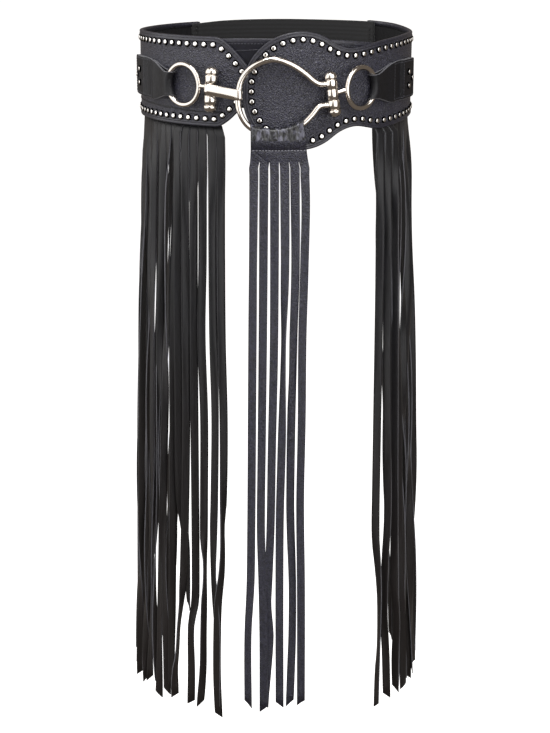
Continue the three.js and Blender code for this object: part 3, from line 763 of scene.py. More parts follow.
def panel(name, columns, edge, lift, anchors, stud_path, seams=()):
    """A front panel with its rolled rim, its stitching and its studs."""
    half = WALL / 2
    body = Shape()
    faces = []
    for way in (1, -1):
        grid = []
        for u in columns:
            top, low = edge(u)
            column = []
            for j in range(PANEL_ROWS):
                z = low + SEAM + (top - low - 2 * SEAM) * j / (PANEL_ROWS - 1)
                swells = way > 0 and 0 < j < PANEL_ROWS - 1
                swell = waver(u, z, 34, 0.35) if swells else 0
                column.append(on_belt(u, lift(u) + way * half + swell, z))
            grid.append(column)
        faces.append(grid)
    wall_between(body, faces[0], faces[1])
    path, turn = edge_path(columns, edge, EDGE_STEP)
    sections = []
    for i in range(1, len(path) - 1):
        du = path[i + 1][0] - path[i - 1][0]
        dz = path[i + 1][1] - path[i - 1][1]
        length = math.hypot(du, dz)
        ring = []
        for inset, height in RIM:
            u = path[i][0] - turn * dz * inset / length
            z = path[i][1] + turn * du * inset / length
            ring.append(on_belt(u, lift(u) + half + height, z))
        sections.append(ring)
    loft(body, sections, 3)
    sheet = body.build(name, [cowhide, flesh_side, cut_edge, rim_hide])
    sewing = Shape()
    stitch_row(sewing, inset_path(path, turn, EDGE_SEWN), lambda u: lift(u) + half)
    for seam_path in seams:
        stitch_row(sewing, seam_path, lambda u: lift(u) + half + 0.1)
        tube(sewing, [on_belt(u, lift(u) + half + 0.02, z + 0.7) for u, z in seam_path[::8]],
             0.45, 8, UP)
    thread_piece = sewing.build(name + "_edge_stitches", [thread])
    domes = Shape()
    for anchor, shows in anchors:
        for u, z in walked(stud_path, STUD_PITCH, anchor):
            if shows(u, z):
                stud(domes, u, lift(u) + half, z)
    stud_piece = domes.build(name + "_studs", [bright_nickel, stud_shade_ring])
    return sheet, thread_piece, stud_piece


SEAM_ROWS = [
    {"u": -350, "z": -29}, {"u": -180, "z": -29}, {"u": -120, "z": -30.4}, {"u": -88, "z": -31.6},
    {"u": -57, "z": -31.4},
]
lower_seam = [(u, smooth(SEAM_ROWS, "u", "z", u)) for u in steps(-345, -58, STITCH_STEP)]
right_places = right_columns(4)
right_panel, right_stitches, right_studs = panel(
    "right_panel", right_places, right_edge, lambda u: 0, RIGHT_ANCHORS,
    inset_path(*edge_path(right_places, right_edge, EDGE_STEP), STUD_INSET), [lower_seam])
left_places = left_columns(3, LOBE_FULL)
left_panel, left_stitches, left_studs = panel(
    "left_panel", left_places, left_edge, lobe_raise, LEFT_ANCHORS,
    inset_path(*edge_path(left_columns(3, LOBE_WIDE), stud_line, EDGE_STEP), STUD_INSET))


# The underlap behind the gap between the panels, with its own turned rim
INSIDE = -WALL / 2 - SEAM


def underlap_edge(u):
    return smooth(UNDERLAP_ROWS, "u", "top", u), UNDERLAP_LOW


underlap_shape = Shape()
underlap_columns = steps(UNDERLAP_FROM, UNDERLAP_TO, 2.5)
underlap_grids = []
for thickness in (0, -2):
    underlap_grids.append([
        [on_belt(u, INSIDE + thickness,
                 UNDERLAP_LOW + (underlap_edge(u)[0] - UNDERLAP_LOW) * j / 10)
         for j in range(11)]
        for u in underlap_columns
    ])
wall_between(underlap_shape, *underlap_grids)
underlap_rim = []
for u in underlap_columns:
    top = underlap_edge(u)[0]
    underlap_rim.append([on_belt(u, INSIDE + out, top + rise) for out, rise in (
        (-2.1, 0.1), (-1.6, 0.45), (-0.4, 0.45), (0.12, 0.1), (0.28, -0.9), (0.24, -3.4),
        (0.0, -4.2), (-0.6, -4.4), (-1.8, -3))])
loft(underlap_shape, underlap_rim, 3)
RIDGE_ROWS = [(-60, 13), (-20, 11), (20, 7), (62, 2.6), (110, 3.4)]
underlap_ridge = [on_belt(u, INSIDE + 0.1, underlap_edge(u)[0] - smooth(RIDGE_ROWS, 0, 1, u))
                  for u in steps(-60, 110, 2.5)]
tube(underlap_shape, underlap_ridge, 0.4, 8, UP, slot=3)
underlap = underlap_shape.build("underlap_sheet", [lining_hide, flesh_side, cut_edge, rim_hide], 0.2)
underlap_sewing = Shape()
underlap_seam = [(u, underlap_edge(u)[0] - UNDERLAP_SEWN)
                 for u in steps(UNDERLAP_FROM + 1, UNDERLAP_TO - 1, STITCH_STEP)]
stitch_row(underlap_sewing, underlap_seam, lambda u: INSIDE)
underlap_stitches = underlap_sewing.build("underlap_stitches", [grey_thread])

# The ribbed elastic across the back, lapped over both panels and zigzag sewn
elastic_shape = Shape()
elastic_from = LEFT_END - ELASTIC_OVERLAP
elastic_to = ROUND + RIGHT_END + ELASTIC_OVERLAP
elastic_grids = []
for depth in (0, -2):
    grid = []
    for u in steps(elastic_from, elastic_to, 3):
        column = []
        high = smooth(ELASTIC_ROWS, "u", "top", u)
        for j in range(73):
            z = ELASTIC_LOW + (high - ELASTIC_LOW) * j / 72
            rib = 0.05 * math.cos(math.tau * j / 3) if 2 < j < 70 else 0
            column.append(on_belt(u, INSIDE + depth + (rib if depth == 0 else -rib), z))
        grid.append(column)
    elastic_grids.append(grid)
wall_between(elastic_shape, *elastic_grids, slots=(0, 0, 0))
back_elastic = elastic_shape.build("elastic_band", [webbing])
elastic_sewing = Shape()
for seam_u in (LEFT_END - ELASTIC_OVERLAP / 2, ROUND + RIGHT_END + ELASTIC_OVERLAP / 2):
    for side in (INSIDE - 2, WALL / 2):
        heights = steps(ELASTIC_LOW + 2, 40, 2.6)
        for i, (z0, z1) in enumerate(zip(heights, heights[1:])):
            lean = 2.2 if i % 2 else -2.2
            face = -1 if side < 0 else 1
            stitch(elastic_sewing, on_belt(seam_u - lean, side, z0),
                   on_belt(seam_u + lean, side, z1), outward(seam_u) * face)
elastic_stitches = elastic_sewing.build("elastic_stitches", [thread])


# Ring tabs, rings and bars
def ring_at(side, fold_u, z, degrees):
    """The ring that a tab holds, in the plane of its across direction and +Z."""
    angle = math.radians(degrees)
    across = Vector((-side * math.cos(angle), -math.sin(angle), 0))
    centre = on_belt(fold_u, RING_STAND, z) + across * RING_RADIUS
    return {"side": side, "fold": fold_u, "z": z, "across": across, "centre": centre}


def tab_drop(s):
    return 2.4 * ease(0, 60, s)


TAB_HALF = LEATHER_THIN / 2
TAB_LOW = WALL / 2 + SEAM + TAB_HALF
TAB_LAYER, LAYER_FROM, LAYER_TO = 2.6, 47, 49.5
TAB_SEWN = 2.6
TAB_RISE = [
    {"s": 0, "out": RING_STAND + RING_WIRE + SEAM + TAB_HALF}, {"s": 13, "out": 6.4},
    {"s": 22, "out": TAB_LOW + LEATHER_THIN + SEAM},
    {"s": 30, "out": TAB_LOW + LEATHER_THIN + SEAM},
    {"s": 38, "out": TAB_LOW}, {"s": 86, "out": TAB_LOW},
]


def ring_tab(name, ring):
    """A tab from its outer end to the ring, round the wire and back under itself."""
    rows = 17
    outer = []
    inner = []
    side = ring["side"]

    def station(s, place):
        tall = smooth(TAB_ROWS, "s", "half", s)
        outer_column = []
        inner_column = []
        for j in range(rows):
            height = ring["z"] + tab_drop(s) + tall * (2 * j / (rows - 1) - 1)
            at, away = place(height)
            wrinkle = 0.25 * noise.noise(Vector((s / 9, height / 5, side))) * ease(26, 8, s)
            doubled = TAB_LAYER * ease(LAYER_FROM, LAYER_TO, s)
            outer_column.append(at + away * (TAB_HALF + wrinkle + doubled))
            inner_column.append(at - away * TAB_HALF)
        outer.append(outer_column)
        inner.append(inner_column)

    def leaf(s, out, way):
        u = ring["fold"] + side * s
        station(s, lambda height: (on_belt(u, out, height), outward(u) * way))

    for s in steps(86, 2, 2.4):
        leaf(s, smooth(TAB_RISE, "s", "out", s), 1)
    turns = 18
    for k in range(turns + 1):
        angle = math.pi * k / turns

        def fold(height, angle=angle):
            gap = min(abs(height - ring["centre"].z), RING_RADIUS - 1)
            reach = math.sqrt(RING_RADIUS ** 2 - gap ** 2)
            wire = ring["centre"] - ring["across"] * reach
            face = outward(ring["fold"])
            away = face * math.cos(angle) + ring["across"] * math.sin(angle)
            wire.z = height
            deep = RING_WIRE + SEAM + TAB_HALF
            wide = RING_WIRE * RING_RADIUS / reach + 1.5 * SEAM + TAB_HALF
            return (wire + face * deep * math.cos(angle)
                    + ring["across"] * wide * math.sin(angle), away)

        station(0, fold)
    for s in (4, 7, 10, 15, 20, 25, 30):
        leaf(s, TAB_LOW, -1)
    body = Shape()
    wall_between(body, outer, inner)
    piece = body.build(name, [tab_hide, flesh_side, cut_edge], 0.5, 2)

    def edge_row(s_from, s_to, inset, way):
        row = []
        for s in steps(s_from, s_to, 0.5):
            tall = smooth(TAB_ROWS, "s", "half", s) - inset
            row.append((ring["fold"] + side * s, ring["z"] + tab_drop(s) + way * tall))
        return row

    sewing = Shape()

    def face_out(u):
        s = abs(u - ring["fold"])
        doubled = TAB_LAYER * ease(LAYER_FROM, LAYER_TO, s)
        return smooth(TAB_RISE, "s", "out", s) + TAB_HALF + doubled

    for way in (1, -1):
        stitch_row(sewing, edge_row(33, 83, TAB_SEWN, way), face_out, 3.0, 2.2)
    for s in (32.5, 51.5, 83):
        tall = smooth(TAB_ROWS, "s", "half", s) - TAB_SEWN
        middle = ring["z"] + tab_drop(s)
        u = ring["fold"] + side * s
        row = [(u, middle + z) for z in steps(-tall, tall, STITCH_STEP)]
        stitch_row(sewing, row, face_out, 3.0, 2.2)
    stitches = sewing.build(name + "_stitches", [grey_thread])
    domes = Shape()
    for s, rise in ((64, 7), (76, 0), (64, -7.5)):
        stud(domes, ring["fold"] + side * s, TAB_LOW + TAB_HALF + TAB_LAYER,
             ring["z"] + tab_drop(s) + rise)
    studs = domes.build(name + "_studs", [bright_nickel, stud_shade_ring])
    return piece, stitches, studs


def bar_frame(x, y, z, lean):
    """A pivot bar's own frame, with the bar's axis along its Y."""
    tilt = math.radians(lean)
    axis = Vector((math.sin(tilt), 0, math.cos(tilt)))
    right = Vector((math.cos(tilt), 0, -math.sin(tilt)))
    matrix = Matrix((right, axis, right.cross(axis))).transposed().to_4x4()
    matrix.translation = Vector((x, y, z))
    return matrix


BARREL = [
    (0.02, BAR_BARREL), (5.9, BAR_BARREL), (6.35, 5.9), (BAR_RADIUS, 6.2), (BAR_RADIUS, 14.9),
    (6.35, 15.25), (5.9, BAR_NECK), (5.4, 15.5), (5.3, 15.75), (5.4, 16.0), (6.2, 16.1),
    (6.65, 16.3), (BAR_CAP, 16.8), (7.0, 18.4), (6.6, 20.0), (5.8, 21.4), (4.6, 22.6),
    (3.1, 23.4), (1.5, 23.8), (0.02, BAR_END),
]


def barrels(shape, matrix):
    """The two capped barrels of a bar, and the pin between them."""
    for way in (1, -1):
        turned(shape, [(r, h * way) for r, h in BARREL], matrix)
    turned(shape, [(0.02, -6.7), (2, -6.7), (2, 6.7), (0.02, 6.7)], matrix)


def sleeve(shape, matrix, radius, low, high):
    """A tube round a bar's pin, its ends eased."""
    rim = 0.35
    turned(shape, [
        (BAR_BORE, low + rim), (BAR_BORE + rim, low), (radius - rim, low),
        (radius, low + rim), (radius, high - rim), (radius - rim, high),
        (BAR_BORE + rim, high), (BAR_BORE, high - rim), (BAR_BORE, low + rim),
    ], matrix)


def ring_piece(name, ring, matrix, radius, low, high):
    """A ring with its neck and its sleeve on a bar's pin."""
    shape = Shape()
    path = []
    ups = []
    for k in range(72):
        angle = math.tau * k / 72
        spoke = ring["across"] * math.cos(angle) + UP * math.sin(angle)
        path.append(ring["centre"] + spoke * RING_RADIUS)
        ups.append(spoke)
    tube(shape, path, RING_WIRE, 20, ups, closed=True)
    near = ring["centre"] + ring["across"] * RING_RADIUS
    middle = matrix @ Vector((0, (low + high) / 2, 0))
    reach = middle - near
    stop = near + reach * (1 - NECK_SHORT / reach.length)
    neck = [near.lerp(stop, share) for share in (0, 0.25, 0.5, 0.75, 1)]
    tube(shape, neck, NECK_RADIUS, 16, UP)
    sleeve(shape, matrix, radius, low, high)
    return shape.build(name, [nickel])


right_ring = ring_at(-1, -119.8, -4, 37.5)
left_ring = ring_at(1, 107.5, -6.1, 43.6)
right_bar = bar_frame(-67.1, -131.3, -6.9, 3.4)
left_bar = bar_frame(58.1, -138, -10.7, -7.5)
right_tab = ring_tab("right_tab", right_ring)
left_tab = ring_tab("left_tab", left_ring)
right_ring_piece = ring_piece(
    "right_ring", right_ring, right_bar, SLEEVE_HIDDEN, 0.2, BAR_MIDDLE)
left_ring_piece = ring_piece(
    "left_ring", left_ring, left_bar, SLEEVE_SHOWN, -BAR_MIDDLE, BAR_MIDDLE)

toggle_shape = Shape()
barrels(toggle_shape, right_bar)
toggle_bar = toggle_shape.build("toggle_bar", [nickel])


# The buckle loop and the hook bar that catches it
def bowed_y(x):
    return LOOP_Y + (BOW_RIGHT if x < 0 else BOW_LEFT) * x * x


loop_shape = Shape()
loop_path = centripetal([Vector((x, bowed_y(x), z)) for x, z in LOOP_ROUTE], 7)
loop_radii = [LOOP_WIRE + 0.4 * ease(-34, -8, place.x) * ease(-6, 6, place.z)
              for place in loop_path]
tube(loop_shape, loop_path, loop_radii, 20, Vector((0, -1, 0)))
barrels(loop_shape, left_bar)
buckle_loop = loop_shape.build("buckle_loop", [nickel])

hook_shape = Shape()
hook_path = list(HOOK_ROWS)
for degrees in steps(CURL_FROM, CURL_TO, 6):
    turn = math.radians(degrees)
    share = (degrees - CURL_FROM) / (CURL_TO - CURL_FROM)
    reach = LOOP_WIRE + SEAM + 0.6
    hook_path.append((CURL_X + reach * math.sin(turn), CURL_Y - reach * math.cos(turn),
                      -10.3 - 0.6 * share, 11.2 - 3.6 * share ** 2, 1.2 - 0.3 * share))
# The bar's front is one even arc, from edge to edge
ARC_END = 60
HALF_ROUND = [(-0.93, 0.5), (-1, 0.4)]
for degrees in range(-ARC_END, ARC_END + 1, 8):
    turn = math.radians(degrees)
    high = math.sin(turn) / math.sin(math.radians(ARC_END))
    HALF_ROUND.append((high, 0.7 - 1.2 * math.cos(turn)))
HALF_ROUND += [(1, 0.4), (0.93, 0.5)]
hook_sections = []
for i, (x, y, z, tall, thick) in enumerate(hook_path):
    before = hook_path[max(i - 1, 0)]
    after = hook_path[min(i + 1, len(hook_path) - 1)]
    along = Vector((after[0] - before[0], after[1] - before[1], 0)).normalized()
    inward = Vector((-along.y, along.x, 0))
    hook_sections.append([Vector((x, y, z + high * tall / 2)) + inward * deep * thick
                          for high, deep in HALF_ROUND])
loft(hook_shape, hook_sections)
web = [Vector((x, y, z)) for z in (3.1, 8.1) for x, y in
       ((-2.8, -5.05), (2.8, -5.05), (2.8, -0.45), (-2.8, -0.45))]
hook_shape.add([right_bar @ corner for corner in web],
               [(0, 3, 2, 1), (4, 5, 6, 7), (0, 1, 5, 4), (1, 2, 6, 5), (2, 3, 7, 6), (3, 0, 4, 7)])
sleeve(hook_shape, right_bar, SLEEVE_HIDDEN, -BAR_MIDDLE, -0.2)
hook_bar = hook_shape.build("hook_bar", [nickel])


# Fringe: each strip hangs from its root, sways and turns. The strips that the photograph
# shows from end to end have courses of (drop below the waist, x, width seen), each place
# given where the strip bends or turns, to about half a millimetre
STRIP_FULL = 9.0
RIGHT_COURSES = {
    30: [(50, -58, 8), (271, -58.5, 9), (366, -57, 9), (458, -58, 8), (490, -59, 5),
         (519, -59, 5.5), (545, -60.5, 6.5), (578, -64.5, 8), (616, -66, 8), (665, -66.5, 8),
         (713, -65, 8)],
    29: [(50, -67, 9), (271, -67.5, 9), (366, -66.5, 7.5), (458, -68, 8), (490, -69, 8),
         (545, -69.5, 5.5), (578, -67.5, 7), (616, -65.5, 6.5), (698, -66.5, 7)],
    28: [(50, -77, 9), (190, -78.5, 9), (271, -80.5, 9), (366, -78.5, 9), (458, -79.5, 9),
         (505, -80, 8.5), (530, -79, 4), (556, -79.5, 4), (580, -80.5, 6.5), (616, -81.5, 7),
         (660, -82.5, 8), (703, -86, 9)],
    27: [(50, -87, 9), (271, -89, 9), (458, -89.5, 9), (556, -90, 9), (583, -91, 9),
         (611, -95.5, 7), (664, -96, 8), (704, -97, 8.5)],
    26: [(50, -96, 9), (184, -97.5, 9), (355, -98.5, 9), (458, -100.5, 9), (545, -103.5, 9),
         (565, -105, 8), (587, -107, 5), (613, -110, 3.5), (645, -112, 3.5), (667, -115, 6),
         (698, -115.5, 9)],
    25: [(50, -105, 9), (355, -107, 9), (458, -107, 9), (510, -101, 8), (563, -99, 5.5),
         (590, -98.5, 3.5)],
}
LEFT_COURSES = {
    100: [(59, 111, 8.5), (235, 112, 9), (469, 111.5, 9), (512, 112, 9), (538, 114, 7),
          (565, 116, 5.5), (591, 117, 4.5), (645, 117, 4), (672, 116, 5.5), (715, 115.5, 6)],
    101: [(60, 119.5, 8.5), (310, 122, 9), (411, 124, 9), (489, 125.5, 8), (541, 123.5, 8),
          (600, 123, 8), (650, 125.5, 9), (705, 127.5, 9)],
    102: [(61, 127.5, 7.5), (312, 131, 8), (491, 134, 8), (571, 134.5, 9), (616, 138, 8),
          (664, 137.5, 8.5), (702, 138.5, 8)],
}
STRAP_COURSES = [
    [(81, -23, 9.5), (184, -24, 8.5), (264, -25, 9), (482, -27, 9), (547, -28, 9),
     (607, -31, 8), (690, -31, 8)],
    [(81, -12.5, 9.5), (264, -14, 9), (392, -15.5, 9), (482, -16.5, 9), (547, -15, 9),
     (607, -14, 9), (697, -14, 9)],
    [(81, -1.5, 9.5), (264, -2, 9), (392, -4.5, 9), (482, -6, 9), (547, -8.5, 9),
     (572, -9.5, 9), (607, -7, 9), (636, -8.5, 9), (692, -13, 9)],
    [(81, 9, 10), (184, 9.5, 9), (224, 9, 7.5), (266, 8, 5), (309, 7, 6), (357, 6.5, 8),
     (392, 6, 9), (482, 4, 9), (690, 4, 9)],
    [(81, 19.5, 10), (184, 20.5, 9), (264, 18.5, 8), (309, 18, 7.5), (357, 16.5, 9),
     (449, 15.5, 9), (482, 16, 9), (547, 18, 7.5), (607, 18, 8), (643, 17, 9), (690, 15.5, 9)],
    [(81, 29.5, 9.5), (125, 31, 9), (184, 30, 9), (264, 28, 8), (357, 27.5, 8),
     (449, 26, 8.5), (547, 27.5, 9), (690, 28, 9)],
]


def sway(i, k, t):
    """A smooth chance wander down strip i, about -1 to 1."""
    return 1.9 * noise.noise(Vector((i * 7.31 + k * 3.7, k * 19.1, t)))


def strip_stations(i, u, out, root, end, flare, course, shares, joined=0.0):
    """Down one strip: its centre, its across and face directions, and its width, which
    is greater by joined near the root, where the slits are still closed."""
    stations = []
    spread = flare * (0.6 + 0.4 * abs(math.sin(phi_at(u))))
    finish = -course[-1][0] if course else end + 14 * (chance(i, 1) - 0.5)
    gather = 0.4 * max(abs(u) - 250, 0)
    for t in shares:
        z = root + (finish - root) * t
        settle = ease(0, 0.12, t)
        at = u - math.copysign(gather * t ** 1.2, u)
        if not course:
            at += 7 * t * sway(i, 1, 2.4 * t)
        lane = (i % 3 - 1) * 1.5 * settle
        centre = on_belt(at, out + spread * t ** 0.9 + lane + 2.5 * t * sway(i, 2, 1.8 * t), z)
        away = outward(at)
        turn = math.radians(70) * settle * sway(i, 3, 3.4 * t)
        width = STRIP_WIDTH + 0.5 + joined * ease(0.12, 0.05, t)
        if course:
            centre.x = centre.x + (smooth(course, 0, 1, -z) - centre.x) * ease(0, 0.02, t)
            seen = smooth(course, 0, 2, -z)
            width = max(STRIP_FULL, seen) + joined * ease(0.12, 0.05, t)
            lean = math.acos(min(1, seen / width)) * (1 if chance(i, 3) > 0.5 else -1)
            facing = Vector((math.sin(lean), -math.cos(lean), 0))
            away = away.lerp(facing, ease(0, 0.2, t)).normalized()
            turn *= 0.12
        side = Vector((-away.y, away.x, 0))
        across = side * math.cos(turn) + away * math.sin(turn)
        face = away * math.cos(turn) - side * math.sin(turn)
        stations.append((t, centre, across, face, width))
    return stations


def strip_columns(i, stations, thick, tracks):
    """The front and back columns of a strip, cupped a little and cut aslant at its end."""
    slant = (2.5 + 2 * chance(i, 5)) * (1 if chance(i, 6) > 0.5 else -1)
    grids = []
    for way in (1, -1):
        grid = []
        for track in tracks:
            column = []
            for t, centre, across, face, width in stations:
                cup = 1.1 * sway(i, 4, 4.5 * t) * min(1, 6 * t) * (track * track - 0.4)
                drop = slant * track * (t > 0.995)
                column.append(centre + across * track * width / 2
                              + face * (way * thick(t) / 2 + cup) + UP * drop)
            grid.append(column)
        grids.append(grid)
    return grids


TRACKS = (-1, -0.6, -0.2, 0.2, 0.6, 1)


def fringe_group(name, first, last, count, seed, courses):
    """A side fringe: count strips between two places on the belt, numbered from seed."""
    hem = INSIDE - BACKING / 2
    shape = Shape()
    grids = [[[on_belt(u, hem + way * BACKING / 2, z) for z in steps(BACKING_LOW, BACKING_TOP, 2)]
              for u in steps(first, last, 4)] for way in (1, -1)]
    wall_between(shape, *grids)
    pitch = (last - first) / count
    shares = [j / 56 for j in range(57)]
    for k in range(count):
        i = k + seed
        stations = strip_stations(i, first + pitch * (k + 0.5), hem, BACKING_LOW + 1, FRINGE_END,
                                  FRINGE_FLARE, courses.get(i), shares, 1.2)
        wall_between(shape, *strip_columns(i, stations, lambda t: STRIP_THICK, TRACKS))
    return shape.build(name, [strip_grain, strip_flesh, cut_edge])


right_fringe = fringe_group("right_fringe", RIGHT_END, -59, 31, 0, RIGHT_COURSES)
left_fringe = fringe_group("left_fringe", 113, 322, 22, 100, LEFT_COURSES)

# The centre strap: folded over the loop's lower wire, sewn to itself and slit into six strips
STRAP_LEFT, STRAP_RIGHT = -27.2, 33.6
STRAP_SLIT_PITCH = (STRAP_RIGHT - STRAP_LEFT) / 6
STRAP_SLIT_HALF = 0.16
STRAP_SEW = -67.7
BUNCH_LOW, BUNCH_FRONT = -57, -147
STRAP_LEFT_ROWS = [(35, -26.4), (56, -26.4), (68, -26.5), (82, -27.3)]
STRAP_RIGHT_ROWS = [(35, 28.2), (44, 29.2), (56, 31), (67, 31.8), (80, 33.7)]
STRAP_TRACKS = [k / 5 - 1 for k in range(11)]
STRAP_SWELL = [(0, 4.05), (0.2, 4.9), (0.42, 5.5), (0.6, 5.0), (0.78, 3.6), (0.92, 1.7),
               (1, 0.95)]
STRAP_ROLL, STRAP_REST, STRAP_HALF = 4.1, 0.95, 0.8
STRAP_BACK_LOW, STRAP_BACK_TURN = -71.5, 9
PUCKER_Z = -49.5
# Each pucker: its middle, its half width and its depth
PUCKERS = [(-19, 1.7, 0.8), (-14, 1.5, 1.0), (-10.3, 1.2, 1.7), (-4, 1.8, 0.8), (3, 1.6, 0.7),
           (9, 1.8, 1.0), (15, 1.5, 0.7), (20, 1.6, 1.0), (26, 1.8, 0.8)]
WIRE_ROWS = [{"x": x, "z": z} for x, z in LOOP_ROUTE[13:23]]
strap_stations = []
for k in range(6):
    middle = STRAP_LEFT + STRAP_SLIT_PITCH * (k + 0.5)
    strap_stations += [(k, track, middle + track * (STRAP_SLIT_PITCH / 2 - STRAP_SLIT_HALF))
                       for track in STRAP_TRACKS]


def strap_leaf(x, z, out):
    """A point of the strap above its slits: out is in front of the fold's middle plane."""
    share = ease(-62, -79, z)
    part = (x - STRAP_LEFT) / (STRAP_RIGHT - STRAP_LEFT)
    left = smooth(STRAP_LEFT_ROWS, 0, 1, -z)
    right = smooth(STRAP_RIGHT_ROWS, 0, 1, -z)
    at_x = left + (right - left) * part
    hung = on_belt(x, STRAP_OUT + out, z)
    hung.x = at_x
    return Vector((at_x, bowed_y(at_x) - out, z)).lerp(hung, share)


def strap_relief(x, z):
    """Puckers gathered under the wire, the sunk seam, and a slanting crease below it."""
    pucker = 0.0
    for centre, reach, depth in PUCKERS:
        lean = 0.35 * (centre / 25) * (z + 50)
        pucker += depth * math.exp(-((x - centre - lean) / reach) ** 2)
    crinkle = 1.2 * noise.noise(Vector((x / 3.1, z / 5.5, 4.2)))
    top_band = math.exp(-((z - PUCKER_Z) / 5.2) ** 4)
    seam = 0.5 * math.exp(-((z - STRAP_SEW) / 0.8) ** 2)
    crease_x = -22.5 + (-69 - z) * 1.25
    crease = 0.9 * math.exp(-((x - crease_x) / 1.1) ** 2)
    crease *= ease(-67.5, -69, z) * ease(-85, -80, z)
    ripple = 0.35 * noise.noise(Vector((x / 9, z / 7, 9.1))) * ease(STRAP_SEW, -72, z)
    return crinkle * top_band - 1.3 * pucker * top_band - seam - crease + ripple


strap_outer = []
strap_inner = []
front_shares = [j / 14 for j in range(14)]
for k, track, x in strap_stations:
    wire_x = strap_leaf(x, -40, 0).x
    wire_z = smooth(WIRE_ROWS, "x", "z", wire_x)
    outer_column = []
    inner_column = []

    def contour(out, z, normal_out, normal_z, relief=0.0):
        for way, column in ((1, outer_column), (-1, inner_column)):
            column.append(strap_leaf(x, z + way * normal_z * STRAP_HALF,
                                     out + way * normal_out * STRAP_HALF + relief))

    back_z = wire_z - STRAP_BACK_TURN
    for share in (0, 0.25, 0.5, 0.75):
        contour(-STRAP_REST, STRAP_BACK_LOW + (back_z - STRAP_BACK_LOW) * share, -1, 0)
    for share in (0, 0.25, 0.5, 0.75, 1):
        spread = ease(0, 1, share)
        contour(-STRAP_REST - (STRAP_ROLL - STRAP_REST) * spread,
                back_z + STRAP_BACK_TURN * share, -1, 0)
    for step in range(1, 16):
        angle = math.pi * step / 16
        front = ease(0.5, 1, step / 16)
        contour(-STRAP_ROLL * math.cos(angle), wire_z + STRAP_ROLL * math.sin(angle),
                -math.cos(angle), math.sin(angle), 0.5 * front * strap_relief(x, PUCKER_Z))
    for share in front_shares:
        z = wire_z + (STRAP_SEW - wire_z) * share
        held = 0.5 + 0.5 * ease(0, 0.25, share)
        contour(smooth(STRAP_SWELL, 0, 1, share), z, 1, 0,
                held * strap_relief(x, PUCKER_Z if share < 0.15 else z))
    for step in range(16):
        z = STRAP_SEW + (STRAP_SLITS - STRAP_SEW) * step / 15
        contour(STRAP_REST * ease(-84, -70, z), z, 1, 0, strap_relief(x, z))
    slit_row = len(outer_column) - 1
    strap_outer.append(outer_column)
    strap_inner.append(inner_column)

STRAP_SHARES = [(j / 64) ** 1.1 for j in range(1, 65)]
for k in range(6):
    i = k + 200
    first_column = k * len(STRAP_TRACKS)
    middle = STRAP_LEFT + STRAP_SLIT_PITCH * (k + 0.5)
    stations = strip_stations(i, middle, STRAP_OUT, STRAP_SLITS, CENTRE_END, CENTRE_FLARE,
                              STRAP_COURSES[k], STRAP_SHARES)
    fronts, backs = strip_columns(
        i, stations, lambda t: 2 * STRAP_HALF - 0.4 * min(1, 10 * t), STRAP_TRACKS)
    for c in range(len(STRAP_TRACKS)):
        strap_outer[first_column + c] += fronts[c]
        strap_inner[first_column + c] += backs[c]
centre_shape = Shape()
wall_between(centre_shape, strap_outer, strap_inner,
             keep=lambda i, j: j < slit_row or i % len(STRAP_TRACKS) != len(STRAP_TRACKS) - 1)
centre_strap = centre_shape.build("centre_strap",
                                  [soft_hide, strip_flesh, cut_edge, painted_light_bunched_hide])
# Faces of the bunched roll in front of the wire take the painted highlights and shade
for face in centre_strap.data.polygons:
    in_front = face.center.y < BUNCH_FRONT * MM
    if face.material_index == 0 and BUNCH_LOW * MM < face.center.z and in_front:
        face.material_index = 3
strap_sewing = Shape()
for x in steps(-24, 31, 3.4):
    start = strap_leaf(x - 1.1, STRAP_SEW, 1.4)
    stitch(strap_sewing, start, strap_leaf(x + 1.1, STRAP_SEW, 1.4), Vector((0, -1, 0)))
strap_stitches = strap_sewing.build("strap_stitches", [pale_thread])

# Every piece rides on the belt's one body and stands in for its own solids
for pieces, node, finish in (
    ((right_panel, right_stitches, right_studs), "panel_right", "leather"),
    ((left_panel, left_stitches, left_studs), "panel_left", "leather"),
    ((underlap, underlap_stitches), "underlap", "leather"),
    ((back_elastic, elastic_stitches), "back_elastic", "elastic"),
    (right_tab, "tab_right", "leather"),
    (left_tab, "tab_left", "leather"),
    ((right_ring_piece,), "ring_right", "nickel"),
    ((left_ring_piece,), "ring_left", "nickel"),
    ((toggle_bar,), "toggle_bar", "nickel"),
    ((buckle_loop,), "buckle_loop", "nickel"),
    ((hook_bar,), "hook_bar", "nickel"),
    ((right_fringe,), "fringe_right", "fringe_leather"),
    ((left_fringe,), "fringe_left", "fringe_leather"),
):
    for piece in pieces:
        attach(piece, "root")
        if piece is pieces[0]:
            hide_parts(node)
for piece in (centre_strap, strap_stitches):
    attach(piece, "root")
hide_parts("strap_fold", "fringe_centre")


def cut_area(places, edge):
    """The flat area of a belt piece in square metres, from its edges along the belt."""
    total = 0.0
    for u0, u1 in zip(places, places[1:]):
        (top0, low0), (top1, low1) = edge(u0), edge(u1)
        total += (u1 - u0) * (top0 - low0 + top1 - low1) / 2
    return total * MM * MM


# The flat area that each leather or elastic piece was cut to
cut_area(right_places, right_edge)
cut_area(left_places, left_edge)
cut_area(underlap_columns, underlap_edge)
cut_area(steps(elastic_from, elastic_to, 3),
                       lambda u: (smooth(ELASTIC_ROWS, "u", "top", u), ELASTIC_LOW))

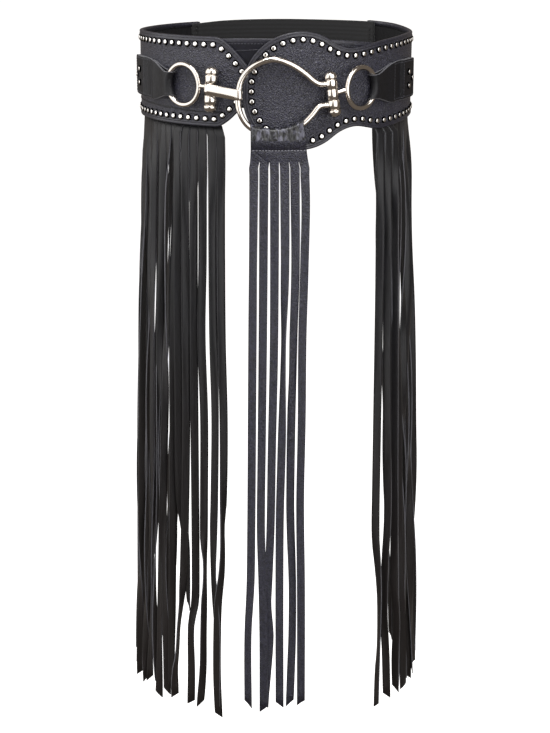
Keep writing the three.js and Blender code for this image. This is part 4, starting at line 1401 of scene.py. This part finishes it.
# Plain pale floor, lit evenly by itself so that it throws no light up at the black leather
FLOOR_HALF, FLOOR_Z = 60, -0.95
floor_mesh = bpy.data.meshes.new("floor")
floor_mesh.from_pydata([(x * FLOOR_HALF, y * FLOOR_HALF, FLOOR_Z)
                        for x, y in ((-1, -1), (1, -1), (1, 1), (-1, 1))],
                       [], [(0, 1, 2, 3)])
paper, _, paper_surface, _ = start_material("pale studio floor")
paper_surface.inputs["Base Color"].default_value = linear("#e8e8e8")
paper_surface.inputs["Roughness"].default_value = 0.9
paper_surface.inputs["Emission Color"].default_value = linear("#ffffff")
paper_surface.inputs["Emission Strength"].default_value = 0.96
floor_mesh.materials.append(paper)
floor = bpy.data.objects.new("floor", floor_mesh)
bpy.context.collection.objects.link(floor)
floor.visible_diffuse = False
floor.visible_glossy = False

# A dim warm room, with a wide soft light on each side of the camera and a small one above
world = bpy.data.worlds.new("studio")
world.use_nodes = True
room = world.node_tree.nodes["Background"]
room.inputs["Color"].default_value = linear("#ffeedd")
room.inputs["Strength"].default_value = 0.16
bpy.context.scene.world = world


def soft_light(name, azimuth, elevation, distance, width, height, power):
    """A soft panel aimed at the belt: azimuth from the front towards +X, in degrees."""
    turn = math.radians(azimuth)
    rise = math.radians(elevation)
    away = Vector((math.sin(turn) * math.cos(rise), -math.cos(turn) * math.cos(rise),
                   math.sin(rise)))
    lamp = bpy.data.lights.new(name, "AREA")
    lamp.shape = "RECTANGLE"
    lamp.size = width
    lamp.size_y = height
    lamp.energy = power
    stand = bpy.data.objects.new(name, lamp)
    stand.location = away * distance
    stand.rotation_euler = away.to_track_quat("Z", "Y").to_euler()
    stand.visible_camera = False
    bpy.context.collection.objects.link(stand)


soft_light("left_panel_light", -72, 16, 1.7, 3.6, 2.6, 50)
soft_light("right_panel_light", 32, 16, 1.7, 1.9, 2.6, 40)
soft_light("top_light", -12, 62, 1.9, 1.0, 0.7, 26)

camera_data = bpy.data.cameras.new("camera")
camera_data.sensor_width = SENSOR_MM
camera_data.lens = FOCAL_PX * SENSOR_MM / FRAME_HEIGHT_PX
camera = bpy.data.objects.new("camera", camera_data)
camera.location = CAMERA_PLACE
camera.rotation_euler = (math.radians(90 - CAMERA_PITCH), 0, 0)
bpy.context.collection.objects.link(camera)
bpy.context.scene.camera = camera
bpy.context.scene.view_settings.view_transform = "Standard"
